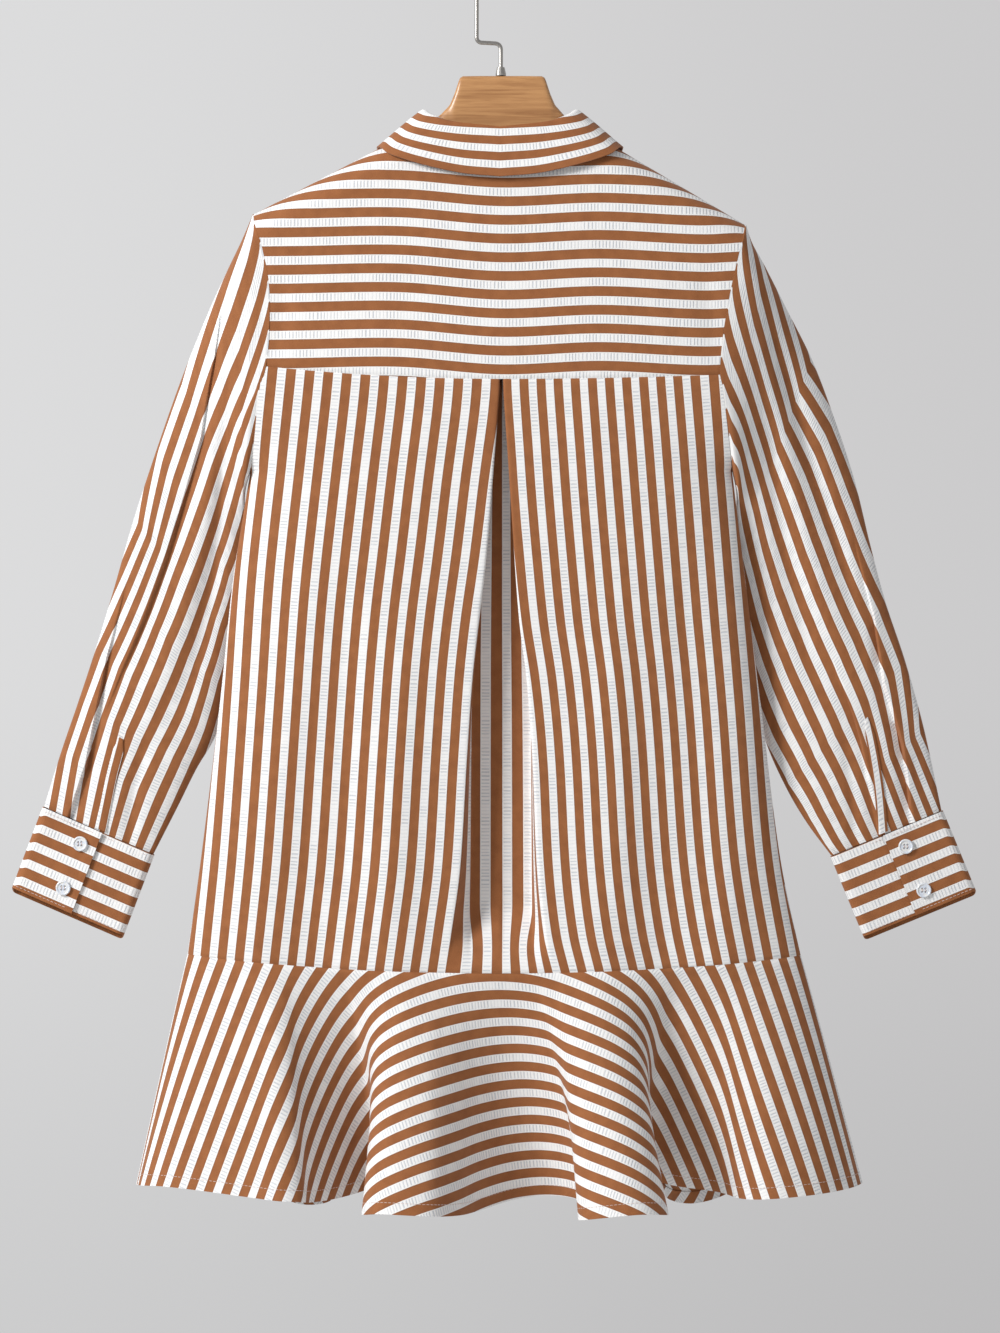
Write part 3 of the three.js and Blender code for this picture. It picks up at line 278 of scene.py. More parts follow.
# Meshes: a closed thin wall round a grid of middle points, with the cloth's own coordinates on both faces.
# Where the grid runs round a tube, its last column repeats its first.
def clothShell(name, grid, stripes, wall, around=False):
    rows, columns = grid.shape[:2]
    quads = np.cross(grid[1:, 1:] - grid[:-1, :-1], grid[1:, :-1] - grid[:-1, 1:])
    quads /= np.maximum(np.linalg.norm(quads, axis=2, keepdims=True), 1e-9)
    normals = np.zeros_like(grid)
    for r in (0, 1):
        for c in (0, 1):
            normals[r:rows - 1 + r, c:columns - 1 + c] += quads
    if around:
        normals[:, 0] += normals[:, -1]
    normals /= np.maximum(np.linalg.norm(normals, axis=2, keepdims=True), 1e-9)
    kept = columns - 1 if around else columns
    layers = [grid[:, :kept] + side * wall / 2 * normals[:, :kept] for side in (1, -1)]
    points = np.concatenate([layer.reshape(-1, 3) for layer in layers]) * mm
    faces, clothMap, bakeMap = [], [], []

    def addFaces(corners, layerOf, bakeFrom, bakeSize):
        # corners: four (row, column) index arrays; layerOf: the layer of each corner
        index = [layerOf[k] * rows * kept + r * kept + c % kept for k, (r, c) in enumerate(corners)]
        faces.append(np.stack(index, -1).reshape(-1, 4))
        clothMap.append(np.stack([stripes[r, c] for r, c in corners], -2).reshape(-1, 2))
        spots = []
        for k, (r, c) in enumerate(corners):
            u = c / (columns - 1) if bakeSize[0] else r / (rows - 1)
            v = (r / (rows - 1)) * bakeSize[1] if bakeSize[0] else layerOf[k] * bakeSize[1]
            if bakeSize[0] == 2:
                v = layerOf[k] * bakeSize[1]
            spots.append(np.stack([u + 0 * v, bakeFrom + v + 0 * u], -1))
        bakeMap.append(np.stack(spots, -2).reshape(-1, 2))

    r, c = np.meshgrid(np.arange(rows - 1), np.arange(columns - 1), indexing="ij")
    ring = [(r, c), (r, c + 1), (r + 1, c + 1), (r + 1, c)]
    addFaces(ring, (0, 0, 0, 0), 0.0, (1, 0.47))
    addFaces([ring[0], ring[3], ring[2], ring[1]], (1, 1, 1, 1), 0.53, (1, 0.47))
    c = np.arange(columns - 1)
    top, low = np.zeros_like(c), np.full_like(c, rows - 1)
    addFaces([(top, c + 1), (top, c), (top, c), (top, c + 1)], (0, 0, 1, 1), 0.473, (2, 0.01))
    addFaces([(low, c), (low, c + 1), (low, c + 1), (low, c)], (0, 0, 1, 1), 0.486, (2, 0.01))
    if not around:
        r = np.arange(rows - 1)
        first, last = np.zeros_like(r), np.full_like(r, columns - 1)
        addFaces([(r, first), (r + 1, first), (r + 1, first), (r, first)], (0, 0, 1, 1), 0.499, (0, 0.01))
        addFaces([(r + 1, last), (r, last), (r, last), (r + 1, last)], (0, 0, 1, 1), 0.512, (0, 0.01))
    faces = np.concatenate(faces)
    clothMap, bakeMap = np.concatenate(clothMap), np.concatenate(bakeMap)
    corners = points[faces]
    volume = np.einsum("ij,ij->i", corners[:, 0], np.cross(corners[:, 1], corners[:, 2])).sum()
    volume += np.einsum("ij,ij->i", corners[:, 0], np.cross(corners[:, 2], corners[:, 3])).sum()
    if volume < 0:
        faces = faces[:, ::-1]
        clothMap = clothMap.reshape(-1, 4, 2)[:, ::-1].reshape(-1, 2)
        bakeMap = bakeMap.reshape(-1, 4, 2)[:, ::-1].reshape(-1, 2)
    mesh = bpy.data.meshes.new(name)
    mesh.from_pydata(points.tolist(), [], faces.tolist())
    for mapName, values in (("Cloth", clothMap), ("OFBake", bakeMap)):
        mesh.uv_layers.new(name=mapName).data.foreach_set("uv", values.astype(np.float32).ravel())
    mesh.set_sharp_from_angle(angle=math.radians(62))
    mesh.materials.append(stripedCloth)
    piece = bpy.data.objects.new(name, mesh)
    bpy.context.collection.objects.link(piece)
    return piece


# The cloth's coordinates at each point: across the stripes and along them, in pitches
def stripeMap(across, along, brownAt=None):
    shift = 0 if brownAt is None else 0.5 - brownAt / cloth["pitch"]
    across, along = np.broadcast_arrays(across, along)
    return np.stack([across / cloth["pitch"] + shift, along / cloth["pitch"]], -1)


def wear(piece, slot, *nodes):
    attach(piece, "root")
    if nodes:
        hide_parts(*nodes)
    return piece


# Form of the body, as the pattern gives it
body = {
    "neckHalfWidth": 78,
    "neckSideHeight": -134,
    "slope": {"left": 0.526, "right": 0.6},
    "shoulderRound": 24,
    "depthAtShoulder": 22,
    "forwardSeam": 20,
    "forwardSeamTurn": 103.6,
    "neckBackDrop": 27,
    "neckFrontDrop": 81,
    "neckSoften": 1.6,
    "yokeSeam": -339.5,
    "yokeSeamRise": {"left": 10, "right": 4},
    "flounceSeam": -832,
    "flounceSeamRise": 13.5,
    "flounceSeamHalf": 255,
    "underarm": -415,
    "armholeOpenFrom": -330,
    "armholeShare": 0.86,
    "seamGap": 0.2,
    "layerStep": 1.75,
}
bodyOutline = table(
    "height left right depth",
    (-150, -192, 193, 21),
    (-200, -205, 204.5, 22),
    (-228, -198, 200, 22),
    (-258, -192, 193, 22),
    (-300, -191.5, 185.5, 22.5),
    (-334, -195, 182.5, 23),
    (-345, -199, 184.5, 23),
    (-400, -205.5, 191.5, 24),
    (-505, -222, 204.5, 25),
    (-610, -233.5, 217.5, 26.5),
    (-740, -249.5, 234, 28.5),
    (-832, -262.5, 253.5, 30),
)
foldsFrom = -430
backFolds = table(
    "place halfWidth depth",
    (-205, 26, 2.6),
    (-152, 30, -3.2),
    (-88, 30, 2.8),
    (82, 28, 2.4),
    (138, 30, -3.4),
    (192, 24, 2.6),
)
frontFolds = table(
    "place halfWidth depth",
    (-180, 32, 3.2),
    (-112, 34, -3.4),
    (-56, 28, 2.4),
    (64, 32, 2.8),
    (128, 34, -3.2),
    (186, 26, 2.6),
)
shoulderArc = (math.pi / 2) * math.sqrt((body["shoulderRound"] ** 2 + body["depthAtShoulder"] ** 2) / 2)


def shoulderLine(x):
    slope = np.where(np.asarray(x) < 0, body["slope"]["left"], body["slope"]["right"])
    return body["neckSideHeight"] - (np.abs(x) - body["neckHalfWidth"]) * slope


def shoulderTurn(way):
    angle = np.minimum(way / shoulderArc, 1) * math.pi / 2
    drop = body["shoulderRound"] * (1 - np.cos(angle)) + np.maximum(way - shoulderArc, 0)
    return drop, np.sin(angle)


def wayForDrop(drop):
    angle = np.arccos(1 - np.clip(drop, 0, body["shoulderRound"]) / body["shoulderRound"])
    return shoulderArc * angle / (math.pi / 2) + np.maximum(drop - body["shoulderRound"], 0)


def outlineAt(height):
    return {name: curveValue(bodyOutline, "height", name, height) for name in ("left", "right", "depth")}


def armholeOpenness(height):
    down = (body["armholeOpenFrom"] - height) / (body["armholeOpenFrom"] - body["underarm"])
    return body["armholeShare"] * np.sqrt(np.clip(1 - np.maximum(down, 0) ** 2, 0, 1))


def foldDepth(folds, x, height):
    grown = smooth((foldsFrom - height) / (foldsFrom - body["flounceSeam"]))
    total = 0
    for place, halfWidth, depth in zip(folds["place"], folds["halfWidth"], folds["depth"]):
        total = total + grown * depth * np.exp(-1.6 * ((x - place) / halfWidth) ** 2)
    return total


# A point of the body is set by x and by its way from the shoulder line, negative down the back
def bodyPoint(x, way):
    x, way = np.broadcast_arrays(np.asarray(x, float), np.asarray(way, float))
    side = np.where(way < 0, -1, 1)
    drop, share = shoulderTurn(np.abs(way))
    height = shoulderLine(x) - drop
    outline = outlineAt(height)
    wide = outline["right"] - outline["left"]
    across = np.clip(np.abs(2 * x - outline["left"] - outline["right"]) / wide, 0, 1)
    opening = armholeOpenness(height)
    rounding = np.sqrt(np.maximum(1 - (1 - opening**2) * across**4, 0))
    folds = np.where(side < 0, foldDepth(backFolds, x, height), foldDepth(frontFolds, x, height))
    y = share * (outline["depth"] * rounding + folds * (1 - across**6))
    y = side * np.maximum(y, body["seamGap"] * share)
    return np.stack([x, y, height], -1)


def bodyPointAtHeight(x, height, side):
    return bodyPoint(x, side * wayForDrop(shoulderLine(x) - height))


def edgePlace(hand, way):
    way = np.asarray(way, float)
    drop = shoulderTurn(np.abs(way))[0]
    height = np.full_like(way, -208)
    for step in range(8):
        x = outlineAt(height)[hand]
        height = shoulderLine(x) - drop
    return np.stack([x, way], -1)


def yokeSeamHeight(x):
    rise = np.where(np.asarray(x) < 0, body["yokeSeamRise"]["left"], body["yokeSeamRise"]["right"])
    return body["yokeSeam"] + rise * (np.asarray(x) / 188) ** 2


def flounceSeamHeight(x):
    return body["flounceSeam"] + body["flounceSeamRise"] * (np.asarray(x) / body["flounceSeamHalf"]) ** 2


def edgeAtSeam(hand, seamHeight, shift, side):
    height = seamHeight(0.0)
    for step in range(8):
        x = outlineAt(height)[hand]
        height = seamHeight(x) + shift
    return np.array([x, side * wayForDrop(shoulderLine(x) - height)])


def neckPlace(turn):
    turn = np.asarray(turn, float)
    angle = np.radians(turn)
    x = body["neckHalfWidth"] * np.sin(angle)
    back = np.abs(turn) < 90
    lean = np.abs(np.cos(angle)) ** body["neckSoften"]
    drop = np.where(back, body["neckBackDrop"], body["neckFrontDrop"]) * lean
    way = wayForDrop(shoulderLine(x) - body["neckSideHeight"] + drop)
    return np.stack([x, np.where(back, -1, 1) * way], -1)


# A grid between four border lines, each a function of shares from 0 to 1
def borderedGrid(bottom, top, left, right, columns, rows):
    u, v = columns[None, :, None], rows[:, None, None]
    low, high = bottom(columns)[None], top(columns)[None]
    first, last = left(rows)[:, None], right(rows)[:, None]
    corner = {(a, b): line(np.array([float(a)]))[0] for b, line in ((0, bottom), (1, top)) for a in (0, 1)}
    grid = (1 - v) * low + v * high + (1 - u) * first + u * last
    for (a, b), spot in corner.items():
        grid = grid - (u if a else 1 - u) * (v if b else 1 - v) * spot
    return grid


# Yoke: cross stripes that sag a little between the shoulders
yoke = {
    "fanCorner": 38,  # degrees round the neck whose line runs to the seam's end
    "fan": table(
        "turn armhole",
        (38, 1), (49, 0.7), (59, 0.46), (68, 0.3), (76, 0.205), (83, 0.145), (90, 0.095),
        (96.5, 0.048), (103.6, 0),
    ),
    "sag": table(
        "x lower",
        (-205, 1), (-166, 0.8), (-83, 0), (0, 6.2), (83, 3.3), (166, 6.6), (205, 5),
    ),
    "brownAt": 14.1,  # from the seam at the centre up to the first brown stripe's middle
    "swell": [
        (-120, -215, 130, -222, 16, 0.9),
        (-150, -262, 20, -275, 15, -0.7),
        (10, -250, 165, -268, 14, 0.8),
        (-160, -305, 160, -312, 12, 0.8),
        (168, -235, 181, -330, 9, -1.2),
        (-176, -245, -186, -330, 9, -1.2),
    ],
    "flat": (0.46, 0.26),
    "cutArea": 0.083,
}


def makeYoke():
    ends = {hand: edgeAtSeam(hand, yokeSeamHeight, body["seamGap"] / 2, -1) for hand in ("left", "right")}
    reach = body["forwardSeamTurn"]
    corner = yoke["fanCorner"]

    def outer(u):
        turn = mix(-reach, reach, u)
        lines = np.zeros((len(u), 2))
        for hand, sign in (("left", -1), ("right", 1)):
            here = turn * sign > corner
            down = curveValue(yoke["fan"], "turn", "armhole", np.abs(turn[here]))
            lines[here] = edgePlace(hand, mix(body["forwardSeam"], ends[hand][1], down))
        here = np.abs(turn) <= corner
        x = mix(ends["left"][0], ends["right"][0], (1 + turn[here] / corner) / 2)
        drop = shoulderLine(x) - yokeSeamHeight(x) - body["seamGap"] / 2
        lines[here] = np.stack([x, -wayForDrop(drop)], -1)
        return lines

    def frontSeam(hand, sign):
        start = edgePlace(hand, np.array([float(body["forwardSeam"])]))[0]
        end = neckPlace(sign * reach)
        return lambda v: mix(start[None], end[None], v[:, None])

    inner = np.linspace(-corner, corner, 153)
    wing = np.linspace(corner, reach, 56)[1:]
    turns = np.concatenate([-wing[::-1], inner, wing])
    columns = (turns / reach + 1) / 2
    rows = seamShares(200, 2.7)
    places = borderedGrid(
        outer,
        lambda u: neckPlace(mix(-reach, reach, u)),
        frontSeam("left", -1),
        frontSeam("right", 1),
        columns,
        rows,
    )
    x, way = places[..., 0], places[..., 1]
    grid = bodyPoint(x, way)
    back = way < 0
    away = np.abs(grid[..., 2] - yokeSeamHeight(x))
    grid[..., 1] += np.where(back, seamDip(away) - creaseHeight(yoke["swell"], x, grid[..., 2]), 0)
    up = wayForDrop(shoulderLine(x) - body["yokeSeam"]) + way
    up = up + curveValue(yoke["sag"], "x", "lower", x)
    piece = clothShell("yoke_cloth", grid, stripeMap(up, x, yoke["brownAt"]), cloth["wall"])
    wear(piece, "striped_cloth", "back_yoke")


# Back panel with its inverted pleat: two folded layers on each side, behind a fold edge that leans outwards
backPanel = {
    "fold": 25.4,
    "stub": 2.4,
    "centre": 1.2,
    "flushFrom": -775,
    "clothHalf": {"top": 248, "bottom": 274},
    # the line at the side to which the stripes fan out, without the armhole's curve
    "side": table(
        "height left right",
        (-320, -193, 180),
        (-415, -208, 193),
        (-505, -222, 204.5),
        (-610, -233.5, 217.5),
        (-740, -249.5, 234),
        (-832, -262.5, 253.5),
    ),
    "turnsFrom": 0.86,  # share of the way to the side from which the cloth is laid by its own length
    "underlayShift": 4.3,  # the underlay's stripes lie this far to the left
    "opening": table(
        "height left right",
        (-329, 1.2, 1.2),
        (-350, 1.6, 1.6),
        (-408, 6, 5.5),
        (-484, 12, 10.5),
        (-540, 18.5, 14.8),
        (-589, 23.5, 21),
        (-655, 28, 26),
        (-745, 33.5, 30),
        (-800, 41, 36),
        (-833, 46, 44),
    ),
    # where on the cloth the fold edge lies: it leaves the brown stripe's edge on its way down
    "foldCloth": table(
        "height left right",
        (-340, 50.75, 50.75), (-370, 50, 50.75), (-440, 46, 50.6), (-540, 42.5, 48), (-640, 42, 45),
        (-833, 42, 44),
    ),
    "creases": [
        (-150, -420, -196, -800, 16, 1.6),
        (-128, -470, -128, -826, 13, -1.7),
        (-74, -520, -98, -828, 15, 1.4),
        (92, -500, 104, -828, 14, 1.6),
        (150, -440, 172, -820, 15, -1.7),
        (186, -380, 222, -812, 12, 1.5),
        (-196, -360, -214, -520, 9, -1.6),
        (186, -352, 198, -520, 9, -1.6),
        (-60, -345, -78, -480, 12, 0.7),
        (70, -345, 88, -470, 12, 0.7),
    ],
    "flat": (0.55, 0.5),
    "cutArea": 0.262,
}


def pleatHalf(hand, sign, v):
    topEnd = edgeAtSeam(hand, yokeSeamHeight, -body["seamGap"] / 2, -1)
    bottomEnd = edgeAtSeam(hand, flounceSeamHeight, body["seamGap"] / 2, -1)
    edge = edgePlace(hand, mix(topEnd[1], bottomEnd[1], v))

    def heightAt(x):
        return mix(yokeSeamHeight(x) - body["seamGap"] / 2, flounceSeamHeight(x) + body["seamGap"] / 2, v)

    centreHeight = float(heightAt(0.0))
    opening = curveValue(backPanel["opening"], "height", hand, centreHeight)
    centre = backPanel["centre"]
    foldX = centre + sign * opening
    shares = seamShares(200, 2.6, (0.6, 1.4, 2.6))
    x = mix(edge[0], foldX, shares)
    visible = bodyPointAtHeight(x, heightAt(x), -1)
    lastStretch = backPanel["flushFrom"] - body["flounceSeam"]
    flush = 1 - float(smooth((backPanel["flushFrom"] - centreHeight) / lastStretch))
    turned = math.acos(np.clip(1 - opening / backPanel["fold"], -1, 1))
    stub = backPanel["stub"] * flush
    layer = backPanel["fold"] - backPanel["stub"]
    deep = layer * math.sin(turned) * flush
    returnX = foldX + sign * layer * math.cos(turned)
    y = visible[-1, 1]
    steps = np.linspace(0, 1, 17)
    inner = []
    for startX, startY, endX, endY in (
        (foldX, y + stub, returnX, y + stub + deep),
        (returnX, y + 2 * stub + deep, centre, y + 2 * stub + deep),
    ):
        run = np.stack([mix(startX, endX, steps), mix(startY, endY, steps), 0 * steps], -1)
        run[:, 2] = heightAt(run[:, 0])
        inner.append(run)
    path = np.concatenate([visible, *inner])
    # the folds are soft, so the path is eased where it turns
    turnFrom = len(visible) - 4
    for step in range(3):
        path[turnFrom:-1] = (path[turnFrom - 1:-2] + 2 * path[turnFrom:-1] + path[turnFrom + 1:]) / 4
    # the cloth's coordinate along the path
    lengths = runLength(path)
    foldAt = lengths[len(visible)]
    foldCloth = curveValue(backPanel["foldCloth"], "height", hand, centreHeight)
    half = mix(backPanel["clothHalf"]["top"], backPanel["clothHalf"]["bottom"], v)
    sideX = curveValue(backPanel["side"], "height", hand, centreHeight)
    turnX = mix(foldX, sideX, backPanel["turnsFrom"])
    reached = np.interp(turnX * sign, path[:len(visible), 0][::-1] * sign, lengths[:len(visible)][::-1])
    reach = np.clip((path[:, 0] - foldX) / (sideX - foldX), 0, backPanel["turnsFrom"])
    flat = foldCloth + (half - foldCloth) * reach
    outside = flat + np.maximum(reached - lengths, 0)
    hidden = (lengths[-1] - lengths) * foldCloth / (lengths[-1] - foldAt)
    shift = backPanel["underlayShift"] * (1 - smooth((hidden - 22) / 26))
    across = np.where(lengths <= foldAt, sign * outside, sign * hidden - shift)
    return path, across


def makeBackPanel():
    rows = seamShares(492, 3.2)
    grid, across = [], []
    for v in rows:
        left, leftCloth = pleatHalf("left", -1, v)
        right, rightCloth = pleatHalf("right", 1, v)
        grid.append(np.concatenate([left[:-1], ((left[-1] + right[-1]) / 2)[None], right[:-1][::-1]]))
        across.append(np.concatenate([leftCloth, rightCloth[:-1][::-1]]))
    grid, across = np.array(grid), np.array(across)
    visible = len(seamShares(200, 2.6, (0.6, 1.4, 2.6)))
    x, z = grid[..., 0], grid[..., 2]
    outline = outlineAt(z)
    lying = np.zeros(grid.shape[1])
    lying[:visible] = 1
    lying[-visible:] = 1
    sides = np.minimum(x - outline["left"], outline["right"] - x)
    ease = smooth(sides / 26) * lying[None]
    grid[..., 1] -= creaseHeight(backPanel["creases"], x, z) * ease
    grid[..., 1] += seamDip(z - flounceSeamHeight(x)) + seamDip(yokeSeamHeight(x) - z, 0.6)
    along = z - flounceSeamHeight(x)
    piece = clothShell("back_panel_cloth", grid, stripeMap(across, along), cloth["wall"])
    wear(piece, "striped_cloth", "back_panel")


# Fronts and their buttoned band
fronts = {
    "underlap": 12.6,
    "bandWidth": 28,
    "topPart": 0.45,  # share of the top edge that is the shoulder seam
    "clothPerWidth": {"top": 1.03, "bottom": 0.96},
    "creases": {
        "left": [
            (-150, -420, -190, -810, 16, 1.8),
            (-118, -460, -120, -826, 14, -1.8),
            (-70, -520, -88, -828, 14, 1.5),
            (-120, -240, -176, -330, 12, -1.6),
            (-170, -400, -110, -440, 10, 1.4),
        ],
        "right": [
            (148, -440, 178, -820, 16, 1.8),
            (108, -480, 118, -826, 14, -1.8),
            (62, -520, 80, -828, 14, 1.4),
            (116, -236, 170, -326, 12, -1.6),
            (164, -404, 104, -446, 10, 1.4),
        ],
    },
    "flat": (0.26, 0.66),
    "cutArea": 0.145,
}


def makeFront(hand):
    sign = -1 if hand == "left" else 1
    centreX = fronts["underlap"] if hand == "left" else fronts["bandWidth"] / 2 + 0.4
    reach = body["forwardSeamTurn"]
    neckEnd = neckPlace(sign * reach)
    centreTurn = 180 - math.degrees(math.asin(centreX / body["neckHalfWidth"]))
    turnEnd = 360 - centreTurn if hand == "left" else centreTurn
    start = edgeAtSeam(hand, flounceSeamHeight, body["seamGap"] / 2, 1)
    shoulder = edgePlace(hand, np.array([float(body["forwardSeam"]) + body["seamGap"]]))[0]
    topPart = fronts["topPart"]

    def bottom(u):
        x = mix(start[0], centreX, u)
        return np.stack([x, wayForDrop(shoulderLine(x) - flounceSeamHeight(x) - body["seamGap"] / 2)], -1)

    def top(u):
        share = (np.clip(u / topPart, 0, 1))[:, None]
        seam = mix(shoulder[None], (neckEnd + [0, body["seamGap"]])[None], share)
        neckShare = np.clip((u - topPart) / (1 - topPart), 0, 1)
        neck = neckPlace(sign * mix(reach, turnEnd, neckShare))
        neck[:, 1] += body["seamGap"] * (1 - neckShare)
        return np.where(u[:, None] < topPart, seam, neck)

    low, high = bottom(np.array([1.0]))[0], top(np.array([1.0]))[0]
    columns = np.concatenate([np.linspace(0, topPart, 34)[:-1], np.linspace(topPart, 1, 42)])
    rows = seamShares(650, 4.6)
    places = borderedGrid(
        bottom,
        top,
        lambda v: edgePlace(hand, mix(start[1], shoulder[1], v)),
        lambda v: mix(low[None], high[None], v[:, None]),
        columns,
        rows,
    )
    x = places[..., 0]
    grid = bodyPoint(x, places[..., 1])
    z = grid[..., 2]
    outline = outlineAt(z)
    sides = np.minimum(x - outline["left"], outline["right"] - x)
    centreEase = smooth((np.abs(x - centreX)) / 30)
    neckEase = smooth((shoulderLine(x) - z - 30) / 40)
    grid[..., 1] += creaseHeight(fronts["creases"][hand], x, z) * smooth(sides / 26) * centreEase * neckEase
    grid[..., 1] -= seamDip(z - flounceSeamHeight(x))
    ratio = mix(fronts["clothPerWidth"]["bottom"], fronts["clothPerWidth"]["top"], smooth((z + 832) / 600))
    piece = clothShell(f"front_{hand}_cloth", grid, stripeMap(x * ratio, z), cloth["wall"])
    wear(piece, "striped_cloth", f"front_{hand}")


def makeFrontBand():
    footHeight = body["flounceSeam"] + 1.2
    topHeight = body["neckSideHeight"] - body["neckFrontDrop"] - 1.2
    half = fronts["bandWidth"] / 2
    x, z = np.meshgrid(np.linspace(-half, half, 17), np.linspace(footHeight, topHeight, 150))
    grid = bodyPointAtHeight(x, z, 1)
    # the band swells a little between its two rows of stitches
    grid[..., 1] += body["layerStep"] + 0.35 * (1 - (x / half) ** 4)
    grid[..., 1] += 0.25 * np.sin(z / 13.4) * (1 - (x / half) ** 2)
    piece = clothShell("front_band_cloth", grid, stripeMap(x, z), cloth["wall"])
    wear(piece, "striped_cloth", "front_placket")
    return grid


makeYoke()
makeBackPanel()
makeFront("left")
makeFront("right")
frontBand = makeFrontBand()
print("yoke, back panel and fronts sewn")


